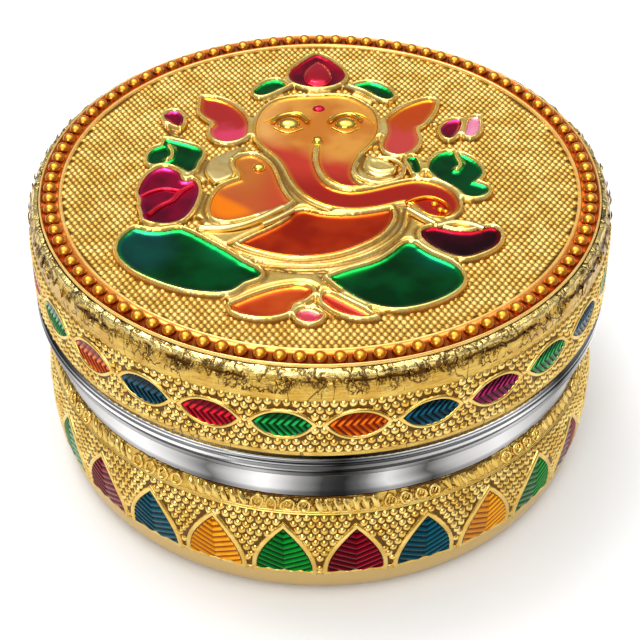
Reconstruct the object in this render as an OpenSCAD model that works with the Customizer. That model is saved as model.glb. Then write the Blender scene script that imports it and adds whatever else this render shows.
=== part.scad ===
// Round steel kumkum box with a lift-off lid, dressed in embossed gold sheet and coloured enamel.
// The origin is the middle of the rest face, +Z is up and the front is -Y.

/* [Box] */
// Radius of the lid at the lower edge of its gold band
lid_r = 37.45; // [30:0.05:45]
// Running gap between the lid's wall and the neck of the base
lid_gap = 0.3; // [0.2:0.05:0.5]
// Thickness of the steel walls
steel_t = 0.45; // [0.35:0.05:0.7]
// Thickness of the embossed gold sheet
sheet_t = 0.4; // [0.3:0.05:0.6]
// Gap between pieces that are fixed together
seat_gap = 0.04; // [0.02:0.01:0.08]

/* [Base] */
// Height of the gold sleeve round the bowl
sleeve_h = 17.6; // [16:0.1:24]
// How far the sleeve's foot draws in below the top edge
foot_in = 1.5; // [1:0.1:2.5]
// How far the sleeve stands out at its ankle and at its crease
ankle_out = 0.55; // [0.3:0.05:1]
// How far below the leaves the ankle lies
ankle_drop = 1.15; // [1.1:0.05:1.5]
// How far the sleeve's belly stands out
belly_out = 1.05; // [0.8:0.05:2]
// Height of the widest part of the belly
belly_z = 9.8; // [8:0.1:11]
// Height of the border above the sleeve's crease
border_h = 2.4; // [1.5:0.1:3]
// Height of the bare steel band above the sleeve
neck_band_h = 4.2; // [3:0.1:8]
// Height of the bead that the lid stops on
stop_h = 1.8; // [1.2:0.1:2.4]
// How far the stop bead stands out
stop_out = 1.3; // [1:0.05:1.6]
// Height of the neck above the stop bead
neck_rise = 9.6; // [5:0.1:12]
// Thickness of the bowl's floor
floor_t = 0.7; // [0.5:0.05:1.2]

/* [Leaves on the base] */
// Height of the leaves' lower line above the rest face
leaf_z = 4.9; // [4.5:0.1:5.5]
// Width of a leaf's enamel at its base
leaf_w = 6.9; // [5:0.1:9]
// Height of a leaf's enamel
leaf_h = 7.7; // [6:0.1:8.8]
// Ribs on each side of a leaf
leaf_ribs = 7; // [5:1:8]
// Width of the gold rim round a leaf
leaf_rim_w = 0.72; // [0.5:0.02:0.8]

/* [Lid] */
// Height of the lid from its rim to the flat field
lid_h = 14.6; // [13.5:0.1:20]
// Height of the steel rim below the gold band
skirt_h = 2.3; // [1.8:0.1:3]
// How far the steel rim's bead stands out from the gold band
skirt_out = 0.3; // [0.1:0.05:0.6]
// How far the gold band draws in at the crease below its shoulder
band_taper = 0.2; // [0:0.05:0.4]
// Width of the rounded shoulder, from the band to the flat plate
shoulder_w = 1.6; // [1.3:0.05:3]
// Height of the shoulder above the crease
shoulder_h = 3.7; // [2.5:0.1:4.2]

/* [Marquises on the lid] */
// Length of a marquise's enamel
marquise_l = 6.6; // [5:0.1:8]
// Height of a marquise's enamel
marquise_h = 3.5; // [2.5:0.1:4.4]
// Ribs on each side of a marquise
marquise_ribs = 7; // [5:1:8]
// Width of the gold rim round a marquise
marquise_rim_w = 0.55; // [0.4:0.05:0.8]
// Least space between neighbouring rims, on the band and on the sleeve
rim_space = 0.4; // [0.3:0.05:1.5]
// Height of a gold rim above the sheet
rim_h = 0.28; // [0.2:0.02:0.6]
// Depth of the ribs pressed into the side enamels
rib_h = 0.22; // [0.1:0.02:0.3]

/* [Bead ring] */
// Width of the enamel ring round the plate
ring_w = 2.15; // [2.1:0.05:2.6]
// Diameter of a bead
bead_d = 1.75; // [1.2:0.05:1.8]
// Space between neighbouring beads
bead_space = 0.49; // [0.2:0.01:1]
// Thickness of the ring's enamel
ring_t = 0.3; // [0.2:0.05:0.5]
// Height of the lips on both sides of the ring
lip_h = 0.4; // [0.3:0.05:0.6]
// Width of a lip
lip_w = 0.3; // [0.2:0.05:0.5]

/* [Figure on the lid] */
// Width of the gold wall round an enamel
wall_w = 0.85; // [0.5:0.05:1]
// Height of the gold wall up to its crown
wall_h = 0.55; // [0.4:0.05:0.9]
// Height of the narrower crown on the wall
crown_h = 0.25; // [0.1:0.05:0.4]
// Thickness of the flat pools of enamel
pool_h = 0.45; // [0.3:0.05:0.5]
// Thickness of the domed enamels, such as the head
dome_h = 1.1; // [0.7:0.05:1.5]
// Width of the slope at the edge of a domed enamel
dome_w = 0.5; // [0.3:0.05:0.6]

/* [Hidden] */
$fn = 96;

gold = [0.86, 0.68, 0.25];
steel = [0.75, 0.76, 0.78];
green = [0.02, 0.5, 0.25];
teal = [0.02, 0.4, 0.48];
red = [0.75, 0.06, 0.12];
amber = [0.95, 0.58, 0.08];
orange = [0.9, 0.36, 0.06];
purple = [0.5, 0.1, 0.32];
magenta = [0.72, 0.05, 0.3];
salmon = [0.9, 0.36, 0.28];

// Heights that the pieces share
stop_z = sleeve_h + neck_band_h;
rim_z = stop_z + stop_h + seat_gap;
band_z = rim_z + skirt_h;
field_z = rim_z + lid_h;
pan_z = field_z - sheet_t - seat_gap;
crease_z = field_z - shoulder_h;

// Radii that the pieces share, worked inwards from the lid
pan_r = lid_r - band_taper - sheet_t - seat_gap;
neck_r = pan_r - steel_t - lid_gap;
sleeve_r = neck_r - seat_gap;
plate_r = lid_r - shoulder_w;
ring_out_r = plate_r - seat_gap - lip_w;
ring_in_r = ring_out_r - ring_w;
bead_r = (ring_out_r + ring_in_r) / 2;
figure_r = ring_out_r;

// How far a cut or a joined piece runs past a face
over = 0.2;
// Height of the sleeve's lower edge above the rest face
foot_lift = 0.15;
// Thickness of a side enamel at its edge
side_t = 0.12;
// Blunt tip of a side enamel
tip_w = 0.3;
// Fullness of a marquise's ends: the power of the curve between its points
end_share = 2.4;
// Extra length that a rim's pointed ends take
tip_gap = 0.6;

// Points on a smooth line through p, a point with a third value being a corner
function flat_of(q) = [q[0], q[1]];
function turn(a, b) = norm(b - a) > 0 ? (b - a) / norm(b - a) : [0, 0];
function heading(p, i, leaving, closed) = let(
        n = len(p),
        before = closed || i > 0 ? flat_of(p[(i + n - 1) % n]) : flat_of(p[i]),
        here = flat_of(p[i]),
        after = closed || i < n - 1 ? flat_of(p[(i + 1) % n]) : flat_of(p[i]))
    len(p[i]) > 2 ? (leaving ? turn(here, after) : turn(before, here)) : turn(before, after);
function blend(a, b, ta, tb, u) = (2 * pow(u, 3) - 3 * pow(u, 2) + 1) * a
    + (pow(u, 3) - 2 * pow(u, 2) + u) * ta + (3 * pow(u, 2) - 2 * pow(u, 3)) * b
    + (pow(u, 3) - pow(u, 2)) * tb;
function stretch(p, i, steps, closed) = let(
        j = (i + 1) % len(p),
        a = flat_of(p[i]),
        b = flat_of(p[j]),
        reach = norm(b - a))
    [for (k = [0:steps - 1])
        blend(a, b, heading(p, i, true, closed) * reach, heading(p, j, false, closed) * reach,
            k / steps)];
function closed_curve(p, steps) = [for (i = [0:len(p) - 1]) each stretch(p, i, steps, true)];
function open_curve(p, steps) = [for (i = [0:len(p) - 2]) each stretch(p, i, steps, false),
    flat_of(p[len(p) - 1])];

// The points of an open line moved by d to its left
function side_of(p, i) = let(t = turn(p[max(i - 1, 0)], p[min(i + 1, len(p) - 1)])) [-t[1], t[0]];
function moved(p, d) = [for (i = [0:len(p) - 1]) p[i] + side_of(p, i) * d];
function backwards(p) = [for (i = [len(p) - 1:-1:0]) p[i]];

// Outer line of the sleeve, from its foot to its top edge
foot_r = sleeve_r - foot_in;
ankle_r = sleeve_r + ankle_out;
ankle_z = leaf_z - ankle_drop;
sleeve_line = concat(
    [for (a = [0:15:75]) [foot_r + (ankle_r - foot_r) * sin(a),
        ankle_z - (ankle_z - foot_lift) * cos(a)]],
    open_curve([[ankle_r, ankle_z], [sleeve_r + belly_out, belly_z],
        [ankle_r, sleeve_h - border_h], [sleeve_r, sleeve_h]], 3));

// Squareness of the shoulder: the power of its curve
square_share = 0.5;

// Outer line of the lid's gold band, from its lower edge over the shoulder
shoulder_r = lid_r - band_taper;
band_line = concat(
    [[lid_r, band_z], [lid_r, band_z + border_h / 2], [shoulder_r, crease_z]],
    [for (a = [15:15:90]) [plate_r + (shoulder_r - plate_r) * pow(cos(a), square_share),
        crease_z + shoulder_h * pow(sin(a), square_share)]]);

// Radius of an outer line at height z
function radius_at(line, z) = lookup(z, [for (p = line) [p[1], p[0]]]);

module sheet(line, thickness, least_r) {
    rotate_extrude() polygon(concat(line,
        backwards([for (p = moved(line, thickness)) [max(p[0], least_r), p[1]]])));
}

// Base

bowl_line = moved(sleeve_line, sheet_t + seat_gap);
bowl_flat_r = foot_r - sheet_t - seat_gap;
inner_r = neck_r - steel_t;

function stop_arc(r, reach, half) = [for (a = [-90:15:90])
    [r + reach * cos(a), stop_z + stop_h / 2 + half * sin(a)]];

module base_bowl() {
    outside = concat([[0, 0], [bowl_flat_r, 0]], [for (p = bowl_line) if (p[1] < sleeve_h - over) p],
        [[sleeve_r - sheet_t - seat_gap, sleeve_h + seat_gap], [sleeve_r, sleeve_h + seat_gap]],
        stop_arc(neck_r, stop_out, stop_h / 2),
        [[neck_r, stop_z + stop_h + neck_rise - steel_t / 2],
            [neck_r - steel_t / 4, stop_z + stop_h + neck_rise]]);
    hollow = concat(
        [[0, floor_t]],
        [for (p = moved(sleeve_line, sheet_t + seat_gap + steel_t))
            if (p[1] > floor_t + over && p[1] < sleeve_h - border_h) p],
        [[sleeve_r - sheet_t - seat_gap - steel_t, sleeve_h - border_h / 2],
            [inner_r, sleeve_h + steel_t]],
        stop_arc(inner_r, stop_out - steel_t / 2, stop_h / 2 - steel_t / 2),
        [[inner_r, stop_z + stop_h + neck_rise]]);
    floor_edge = [bowl_flat_r - steel_t, floor_t];
    color(steel) rotate_extrude()
        polygon(concat(outside, backwards(concat([hollow[0], floor_edge],
            [for (i = [1:len(hollow) - 1]) hollow[i]]))));
}

// A flat outline stood up on the side of the box at angle a and height z, facing outwards
module stood_up(a, z, r) {
    deep = 2 * sheet_t + over;
    rotate(a) translate([0, deep - r, z]) rotate([90, 0, 0])
        linear_extrude(deep + belly_out + rim_h) children();
}

// Gold rims that follow the side, cut from a skin over the line
module rims(line, low, high, count, z) {
    skin = [for (p = line) if (p[1] > low + over && p[1] < high - over) p];
    full = concat([[radius_at(line, low), low]], skin, [[radius_at(line, high), high]]);
    intersection() {
        rotate_extrude() polygon(concat(moved(full, -rim_h), backwards(moved(full, sheet_t * 0.6))));
        union() {
            for (k = [0:count - 1])
                stood_up((k + 0.5) * 360 / count, z, radius_at(line, z)) children();
        }
    }
}

function leaf_half(v) = leaf_w / 2 * (1 - pow(v, 2));
leaf_shape = concat([for (v = [0:0.125:0.875]) [leaf_half(v), leaf_h * v]], [[0, leaf_h]],
    [for (v = [0.875:-0.125:0]) [-leaf_half(v), leaf_h * v]]);
leaf_count = floor(2 * PI * ankle_r / (leaf_w + 2 * leaf_rim_w + rim_space));

module leaf_rim() {
    offset(delta = 0) difference() {
        offset(delta = leaf_rim_w) polygon(leaf_shape);
        polygon(leaf_shape);
    }
}

module base_sleeve() {
    color(gold) union() {
        sheet(sleeve_line, sheet_t, 0);
        rims(sleeve_line, leaf_z - leaf_rim_w * 1.5, leaf_z + leaf_h + leaf_rim_w * 2.2,
            leaf_count, leaf_z) leaf_rim();
    }
}

// A ribbed enamel that follows the side: its rows run from a midrib to both edges of its outline
function raised(t, n, edge) = side_t + (round(t * 2 * n) % 2 == 1 ? rib_h : 0) * (edge ? 0.5 : 1);
module ribbed(line, z, spots, n, upright) {
    rows = 2 * n;
    lean_share = upright ? 1.8 : 1.5;
    width = upright ? leaf_w : marquise_h;
    tip_at = pow(1 - tip_w / width, 1 / (upright ? 2 : end_share));
    low_at = upright ? seat_gap / leaf_h : -tip_at;
    seat = seat_gap + pow(width / 2, 2) / (8 * radius_at(line, z));
    for (a = spots) {
        grid = [for (i = [0:rows]) let(t = low_at + (tip_at - low_at) * i / rows,
                e = low_at + (tip_at - low_at) * (1 - pow(1 - i / rows, lean_share)))
            upright
                ? [[-leaf_half(e) + seat_gap, leaf_h * e], [0, leaf_h * t],
                    [leaf_half(e) - seat_gap, leaf_h * e]]
                : [[marquise_l / 2 * e, marquise_half(e) - seat_gap], [marquise_l / 2 * t, 0],
                    [marquise_l / 2 * e, seat_gap - marquise_half(e)]]];
        inner = [for (row = grid) for (q = row) on_side(line, z, q, seat, a)];
        outer = [for (i = [0:rows]) for (j = [0:2])
            on_side(line, z, grid[i][j], seat + raised(i / rows, n, j != 1), a)];
        size = 3 * (rows + 1);
        strips = [for (i = [0:rows - 1]) for (j = [0:1]) let(c = 3 * i + j) [c, c + 1, c + 4, c + 3]];
        polyhedron(concat(outer, inner), concat(
            [for (s = strips) for (f = [[s[0], s[1], s[2]], [s[0], s[2], s[3]]]) upright ? [f[2], f[1], f[0]] : f],
            [for (s = strips) for (f = [[s[2], s[1], s[0]], [s[3], s[2], s[0]]])
                [for (c = upright ? [f[2], f[1], f[0]] : f) c + size]],
            [for (i = [0:rows - 1]) for (f = [[3 * i, 3 * i + 3, size + 3 * i + 3, size + 3 * i],
                [3 * i + 5, 3 * i + 2, size + 3 * i + 2, size + 3 * i + 5]])
                    for (h = [[f[0], f[1], f[2]], [f[0], f[2], f[3]]]) upright ? [h[2], h[1], h[0]] : h],
            [for (i = [0, 3 * rows]) for (j = [0:1]) let(f = i == 0
                ? [i + j + 1, i + j, size + i + j, size + i + j + 1]
                : [i + j, i + j + 1, size + i + j + 1, size + i + j])
                    for (h = [[f[0], f[1], f[2]], [f[0], f[2], f[3]]]) upright ? [h[2], h[1], h[0]] : h]));
    }
}
function on_side(line, z, q, lift, a) = let(
        r = radius_at(line, z + q[1]) + lift,
        turned = a - 90 + asin(q[0] / r))
    [r * cos(turned), r * sin(turned), z + q[1]];

leaf_colours = ["green", "red", "teal", "amber"];
function leaf_spots(name) = [for (k = [-floor(leaf_count / 2):ceil(leaf_count / 2) - 1])
    if (leaf_colours[((k + 1) % 4 + 4) % 4] == name) (k + 0.5) * 360 / leaf_count];
module base_leaves(name) {
    ribbed(sleeve_line, leaf_z, leaf_spots(name), leaf_ribs, true);
}
module base_leaves_green() { color(green) base_leaves("green"); }
module base_leaves_red() { color(red) base_leaves("red"); }
module base_leaves_teal() { color(teal) base_leaves("teal"); }
module base_leaves_amber() { color(amber) base_leaves("amber"); }

// Lid

module lid_pan() {
    under = [for (p = moved(band_line, sheet_t + seat_gap)) if (p[1] > crease_z) p];
    inside_r = pan_r - steel_t;
    bead_out = lid_r + skirt_out;
    color(steel) rotate_extrude() polygon(concat(
        [[inside_r, rim_z + steel_t / 2], [inside_r + steel_t / 2, rim_z],
            [bead_out - steel_t, rim_z]],
        [for (a = [-75:15:75]) [bead_out - steel_t + steel_t * cos(a),
            rim_z + skirt_h * (0.36 + 0.36 * sin(a))]],
        [[pan_r + steel_t / 2, rim_z + skirt_h * 0.78], [pan_r, rim_z + skirt_h],
            [pan_r, crease_z]],
        [for (p = under) if (p[0] < pan_r) p],
        [[0, pan_z], [0, pan_z - steel_t], [plate_r - steel_t, pan_z - steel_t]],
        [for (a = [75:-15:0]) [plate_r - steel_t + (inside_r - plate_r + steel_t) * cos(a),
            crease_z + (pan_z - steel_t - crease_z) * sin(a)]]));
}

function marquise_half(e) = marquise_h / 2 * (1 - pow(abs(e), end_share));
marquise_shape = concat([for (e = [-1:0.25:1]) [marquise_l / 2 * e, marquise_half(e)]],
    [for (e = [0.75:-0.25:-0.75]) [marquise_l / 2 * e, -marquise_half(e)]]);
marquise_count = floor(2 * PI * lid_r / (marquise_l + 2 * marquise_rim_w + rim_space + tip_gap));
marquise_z = (band_z + border_h + crease_z) / 2 - marquise_rim_w;

module marquise_rim() {
    offset(delta = 0) difference() {
        offset(delta = marquise_rim_w) polygon(marquise_shape);
        polygon(marquise_shape);
    }
}

module lid_band() {
    color(gold) union() {
        sheet(band_line, sheet_t, plate_r);
        rims(band_line, marquise_z - marquise_h / 2 - marquise_rim_w * 1.5,
            marquise_z + marquise_h / 2 + marquise_rim_w * 1.5, marquise_count, marquise_z)
            marquise_rim();
    }
}

marquise_colours = ["orange", "teal", "purple", "green", "teal", "green", "orange", "teal", "red",
    "green", "orange", "teal", "purple", "green", "orange", "teal", "red", "green", "orange",
    "teal", "purple", "red", "green", "orange", "teal", "red", "green"];
function marquise_spots(name) = [for (k = [0:marquise_count - 1])
    if (marquise_colours[k % len(marquise_colours)] == name) (k + 0.5) * 360 / marquise_count];
module marquises(name) {
    ribbed(band_line, marquise_z, marquise_spots(name), marquise_ribs, false);
}
module marquises_green() { color(green) marquises("green"); }
module marquises_orange() { color(orange) marquises("orange"); }
module marquises_teal() { color(teal) marquises("teal"); }
module marquises_red() { color(red) marquises("red"); }
module marquises_purple() { color(purple) marquises("purple"); }

// Bead ring

bead_count = floor(2 * PI * bead_r / (bead_d + bead_space));

module bead_spots() {
    for (k = [0:bead_count - 1]) rotate(k * 360 / bead_count) translate([bead_r, 0]) children();
}

module ring_enamel() {
    color(orange) translate([0, 0, field_z]) linear_extrude(ring_t) difference() {
        circle(ring_out_r - seat_gap);
        circle(ring_in_r + seat_gap);
        bead_spots() circle(d = bead_d + 2 * seat_gap, $fn = 24);
    }
}

module bead_row() {
    color(orange) translate([0, 0, field_z]) bead_spots() rotate_extrude($fn = 24) {
        square([bead_d / 2, ring_t / 2]);
        translate([0, ring_t / 2]) intersection() {
            circle(d = bead_d, $fn = 24);
            square(bead_d);
        }
    }
}

// Figure: outlines as shares of the ring's outer radius, hand-placed, with a 1 after a corner

crown_jewel_shares = [[-0.015, 0.865, 1], [-0.06, 0.82], [-0.10, 0.765], [-0.12, 0.715],
    [-0.11, 0.66], [-0.07, 0.625], [-0.01, 0.612], [0.05, 0.625], [0.085, 0.66], [0.097, 0.715],
    [0.075, 0.77], [0.035, 0.825]];
crown_gem_shares = [[-0.01, 0.81, 1], [-0.04, 0.775], [-0.062, 0.72], [-0.058, 0.665],
    [-0.03, 0.635], [0, 0.63], [0.03, 0.645], [0.045, 0.68], [0.04, 0.73], [0.02, 0.78]];
crown_leaf_left_shares = [[-0.13, 0.625, 1], [-0.165, 0.668], [-0.21, 0.655], [-0.245, 0.61],
    [-0.255, 0.575], [-0.235, 0.553], [-0.205, 0.562], [-0.17, 0.59]];
crown_leaf_right_shares = [[0.125, 0.625, 1], [0.16, 0.645], [0.20, 0.652], [0.245, 0.625],
    [0.275, 0.585], [0.28, 0.545], [0.26, 0.525], [0.23, 0.54], [0.20, 0.57], [0.17, 0.60]];
ear_left_shares = [[-0.455, 0.545, 1], [-0.40, 0.535], [-0.35, 0.505], [-0.31, 0.46],
    [-0.285, 0.41], [-0.275, 0.37], [-0.275, 0.32], [-0.28, 0.275], [-0.31, 0.245],
    [-0.35, 0.235], [-0.385, 0.25], [-0.405, 0.285], [-0.41, 0.325], [-0.395, 0.355],
    [-0.405, 0.375, 1], [-0.43, 0.40], [-0.45, 0.43], [-0.457, 0.48]];
ear_right_shares = [[0.255, 0.385], [0.28, 0.43], [0.32, 0.475], [0.37, 0.51], [0.42, 0.53],
    [0.445, 0.515, 1], [0.435, 0.46], [0.41, 0.40], [0.385, 0.355], [0.36, 0.335, 1],
    [0.36, 0.30], [0.365, 0.25], [0.345, 0.19], [0.30, 0.155], [0.265, 0.16], [0.24, 0.19],
    [0.24, 0.235], [0.255, 0.29], [0.258, 0.34]];
head_shares = [[0, 0.555], [-0.09, 0.55], [-0.165, 0.525], [-0.21, 0.47], [-0.235, 0.40],
    [-0.24, 0.32], [-0.23, 0.255], [-0.20, 0.20], [-0.165, 0.155], [-0.135, 0.10],
    [-0.115, 0.04], [-0.09, -0.03], [-0.055, -0.09], [-0.01, -0.135], [0.05, -0.168],
    [0.12, -0.178], [0.20, -0.165], [0.255, -0.145], [0.30, -0.13], [0.33, -0.142, 1],
    [0.348, -0.175], [0.375, -0.208], [0.42, -0.225], [0.465, -0.21], [0.49, -0.165],
    [0.485, -0.11], [0.46, -0.06], [0.42, -0.025], [0.37, -0.005], [0.32, -0.008],
    [0.25, -0.032], [0.18, -0.06], [0.11, -0.075], [0.05, -0.055], [0.01, -0.015],
    [-0.015, 0.045], [-0.028, 0.11], [-0.03, 0.17], [-0.022, 0.215], [-0.005, 0.222],
    [0, 0.19], [-0.003, 0.13], [0.005, 0.07], [0.03, 0.01], [0.07, -0.03], [0.11, -0.043],
    [0.15, -0.035, 1], [0.125, -0.01], [0.11, 0.04], [0.118, 0.10], [0.14, 0.16],
    [0.17, 0.21], [0.20, 0.27], [0.215, 0.335], [0.213, 0.395], [0.20, 0.45], [0.165, 0.50],
    [0.115, 0.545], [0.06, 0.56]];
arm_shares = [[-0.255, 0.155], [-0.225, 0.14], [-0.19, 0.10], [-0.17, 0.05], [-0.155, -0.01],
    [-0.14, -0.06], [-0.12, -0.11], [-0.105, -0.135, 1], [-0.135, -0.168], [-0.19, -0.195],
    [-0.235, -0.218], [-0.28, -0.238], [-0.32, -0.248], [-0.36, -0.24], [-0.38, -0.21],
    [-0.385, -0.16], [-0.375, -0.10], [-0.355, -0.05], [-0.32, -0.02], [-0.285, 0, 1],
    [-0.285, 0.03], [-0.305, 0.07], [-0.31, 0.11], [-0.295, 0.14]];
belly_shares = [[-0.275, -0.375, 1], [-0.22, -0.33], [-0.16, -0.285], [-0.11, -0.235],
    [-0.085, -0.195], [-0.05, -0.185], [0, -0.205], [0.08, -0.215], [0.16, -0.205],
    [0.25, -0.18, 1], [0.255, -0.21], [0.238, -0.27], [0.20, -0.33], [0.14, -0.38],
    [0.07, -0.42], [0, -0.44], [-0.08, -0.445], [-0.16, -0.43], [-0.23, -0.402]];
bud_left_shares = [[-0.585, 0.43], [-0.56, 0.448], [-0.535, 0.435], [-0.52, 0.40],
    [-0.52, 0.36], [-0.528, 0.337, 1], [-0.555, 0.355], [-0.58, 0.385], [-0.59, 0.41]];
bud_right_shares = [[0.46, 0.335], [0.475, 0.365], [0.505, 0.385], [0.53, 0.385, 1],
    [0.53, 0.35], [0.515, 0.305], [0.495, 0.27], [0.48, 0.258], [0.463, 0.275], [0.455, 0.305]];
bud_tip_shares = [[0.565, 0.385], [0.585, 0.405], [0.602, 0.405, 1], [0.60, 0.345],
    [0.585, 0.295], [0.56, 0.272], [0.545, 0.29], [0.555, 0.335]];
upper_leaf_left_shares = [[-0.575, 0.255, 1], [-0.52, 0.235], [-0.46, 0.205], [-0.437, 0.18],
    [-0.437, 0.14], [-0.45, 0.10], [-0.457, 0.06], [-0.475, 0.04, 1], [-0.50, 0.06],
    [-0.53, 0.085], [-0.57, 0.10], [-0.605, 0.09], [-0.625, 0.105], [-0.63, 0.15],
    [-0.615, 0.19], [-0.595, 0.205, 1], [-0.58, 0.215]];
upper_leaf_right_shares = [[0.40, 0.055], [0.405, 0.105], [0.43, 0.15], [0.465, 0.172],
    [0.50, 0.165, 1], [0.53, 0.15], [0.56, 0.12], [0.58, 0.08], [0.585, 0.04], [0.57, 0.005],
    [0.55, -0.018, 1], [0.58, -0.032], [0.60, -0.055], [0.59, -0.09], [0.56, -0.108],
    [0.52, -0.102], [0.50, -0.07], [0.47, -0.035], [0.43, 0]];
slim_leaf_shares = [[0.32, 0.12], [0.335, 0.14], [0.35, 0.135], [0.358, 0.10], [0.362, 0.06],
    [0.355, 0.035], [0.342, 0.04], [0.333, 0.08]];
lotus_left_shares = [[-0.57, 0.075], [-0.535, 0.065], [-0.51, 0.035], [-0.50, 0],
    [-0.48, -0.012], [-0.46, 0, 1], [-0.445, -0.02], [-0.435, -0.07], [-0.44, -0.13],
    [-0.455, -0.19], [-0.48, -0.24], [-0.52, -0.265], [-0.57, -0.262], [-0.61, -0.24],
    [-0.618, -0.20], [-0.63, -0.16], [-0.63, -0.12], [-0.64, -0.10], [-0.645, -0.07],
    [-0.64, -0.03], [-0.625, 0.02], [-0.60, 0.06]];
lotus_right_shares = [[0.36, -0.295], [0.40, -0.285], [0.46, -0.305], [0.52, -0.31],
    [0.57, -0.29], [0.60, -0.285], [0.62, -0.31], [0.615, -0.36], [0.59, -0.40],
    [0.54, -0.435], [0.49, -0.455], [0.44, -0.44], [0.40, -0.41], [0.36, -0.36], [0.35, -0.32]];
seat_leaf_left_shares = [[-0.64, -0.29], [-0.60, -0.305], [-0.55, -0.31], [-0.51, -0.30],
    [-0.48, -0.295, 1], [-0.44, -0.32], [-0.38, -0.37], [-0.32, -0.42], [-0.265, -0.475],
    [-0.215, -0.515], [-0.20, -0.54], [-0.21, -0.565], [-0.255, -0.59], [-0.275, -0.615],
    [-0.30, -0.635], [-0.36, -0.64], [-0.44, -0.625], [-0.52, -0.59], [-0.60, -0.54],
    [-0.65, -0.49], [-0.68, -0.44], [-0.69, -0.39], [-0.68, -0.34], [-0.66, -0.31]];
seat_leaf_right_shares = [[0.03, -0.56, 1], [0.10, -0.52], [0.17, -0.49], [0.22, -0.455],
    [0.26, -0.41], [0.29, -0.375], [0.32, -0.375], [0.34, -0.40], [0.38, -0.44], [0.43, -0.475],
    [0.46, -0.505], [0.475, -0.55], [0.47, -0.59], [0.44, -0.635], [0.38, -0.68],
    [0.31, -0.71], [0.24, -0.72], [0.17, -0.70], [0.11, -0.655], [0.06, -0.60]];
petal_left_shares = [[-0.29, -0.705, 1], [-0.24, -0.67], [-0.18, -0.635], [-0.12, -0.612],
    [-0.06, -0.605], [-0.03, -0.62], [-0.03, -0.65], [-0.055, -0.68], [-0.09, -0.70],
    [-0.10, -0.735], [-0.13, -0.755], [-0.18, -0.765], [-0.24, -0.755], [-0.28, -0.735]];
petal_centre_shares = [[-0.065, -0.73], [-0.035, -0.725], [-0.005, -0.742], [0.005, -0.765],
    [-0.02, -0.79], [-0.055, -0.785], [-0.075, -0.76]];
petal_right_shares = [[0.02, -0.645], [0.055, -0.665], [0.10, -0.70], [0.145, -0.735],
    [0.17, -0.76, 1], [0.13, -0.765], [0.07, -0.745], [0.03, -0.71], [0.008, -0.675]];
eye_shares = [[-0.06, 0, 1], [-0.03, 0.028], [0.01, 0.034], [0.045, 0.02], [0.06, 0, 1],
    [0.03, -0.025], [-0.01, -0.03], [-0.04, -0.02]];
eye_place_shares = [[-0.115, 0.385], [0.095, 0.38]];
tilak_shares = [[0, 0.04, 1], [-0.022, 0.015], [-0.02, -0.015], [0, -0.032], [0.02, -0.015],
    [0.022, 0.015]];
tilak_place_share = [-0.01, 0.48];

// Raised gold of the figure: solid drops, and lines with their widths
gold_drop_left_shares = [[-0.27, 0.205, 1], [-0.34, 0.17], [-0.40, 0.13], [-0.42, 0.08],
    [-0.41, 0.02], [-0.385, -0.02], [-0.36, 0], [-0.345, 0.05], [-0.34, 0.09],
    [-0.315, 0.14], [-0.29, 0.17]];
gold_drop_right_shares = [[0.17, 0.17, 1], [0.15, 0.10], [0.155, 0.06], [0.19, 0.025],
    [0.24, 0.02], [0.285, 0.05], [0.27, 0.095], [0.22, 0.13], [0.19, 0.155]];
sash_shares = [[-0.26, -0.445], [-0.18, -0.48], [-0.08, -0.492], [0.02, -0.488], [0.11, -0.462],
    [0.19, -0.415], [0.25, -0.355], [0.29, -0.28], [0.305, -0.20]];
lower_sash_shares = [[-0.24, -0.485], [-0.15, -0.515], [-0.06, -0.53], [0.02, -0.525]];
arm_line_shares = [[-0.42, -0.285], [-0.37, -0.288], [-0.31, -0.292], [-0.25, -0.272],
    [-0.20, -0.24], [-0.15, -0.20], [-0.12, -0.172]];
swoosh_shares = [[0.31, -0.18], [0.34, -0.22], [0.39, -0.255], [0.46, -0.26], [0.50, -0.252],
    [0.55, -0.275]];
stem_shares = [[-0.60, 0.39], [-0.585, 0.34], [-0.555, 0.30], [-0.51, 0.275]];
curl_left_shares = [[-0.56, 0.215], [-0.545, 0.18], [-0.545, 0.14], [-0.56, 0.12]];
curl_right_shares = [[0.502, 0.19], [0.50, 0.155], [0.508, 0.12], [0.512, 0.09], [0.495, 0.06]];

// How far the figure is set back from the middle of the plate
figure_y_share = -0.02;
fine_line = wall_w * 0.75;

function outline(shares, steps) = closed_curve([for (q = shares)
    len(q) > 2 ? [q[0] * figure_r, q[1] * figure_r, 1] : q * figure_r], steps);
function line_of(shares, steps) = open_curve([for (q = shares) q * figure_r], steps);

pools = [crown_leaf_left_shares, crown_leaf_right_shares, bud_left_shares, bud_right_shares,
    bud_tip_shares, upper_leaf_left_shares, upper_leaf_right_shares, slim_leaf_shares,
    lotus_left_shares, lotus_right_shares, seat_leaf_left_shares, seat_leaf_right_shares,
    petal_left_shares, petal_centre_shares, petal_right_shares];
domes = [crown_jewel_shares, ear_left_shares, ear_right_shares, head_shares, arm_shares,
    belly_shares];
drops = [gold_drop_left_shares, gold_drop_right_shares];
bold_lines = [sash_shares, arm_line_shares, swoosh_shares];
fine_lines = [lower_sash_shares, stem_shares];

module ribbon(points, width) {
    polygon(concat(moved(points, width / 2), backwards(moved(points, -width / 2))));
    for (end = [points[0], points[len(points) - 1]]) translate(end) circle(d = width, $fn = 24);
}

module relief_plan() {
    difference() {
        union() {
            for (shares = concat(pools, domes))
                offset(delta = wall_w) polygon(outline(shares, 2));
            for (shares = drops) polygon(outline(shares, 2));
            for (shares = bold_lines) ribbon(line_of(shares, 3), wall_w * 1.2);
            for (shares = fine_lines) ribbon(line_of(shares, 3), fine_line);
        }
        for (shares = concat(pools, domes)) polygon(outline(shares, 2));
    }
    ribbon(line_of(curl_left_shares, 3), fine_line);
    ribbon(line_of(curl_right_shares, 3), fine_line);
}

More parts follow.
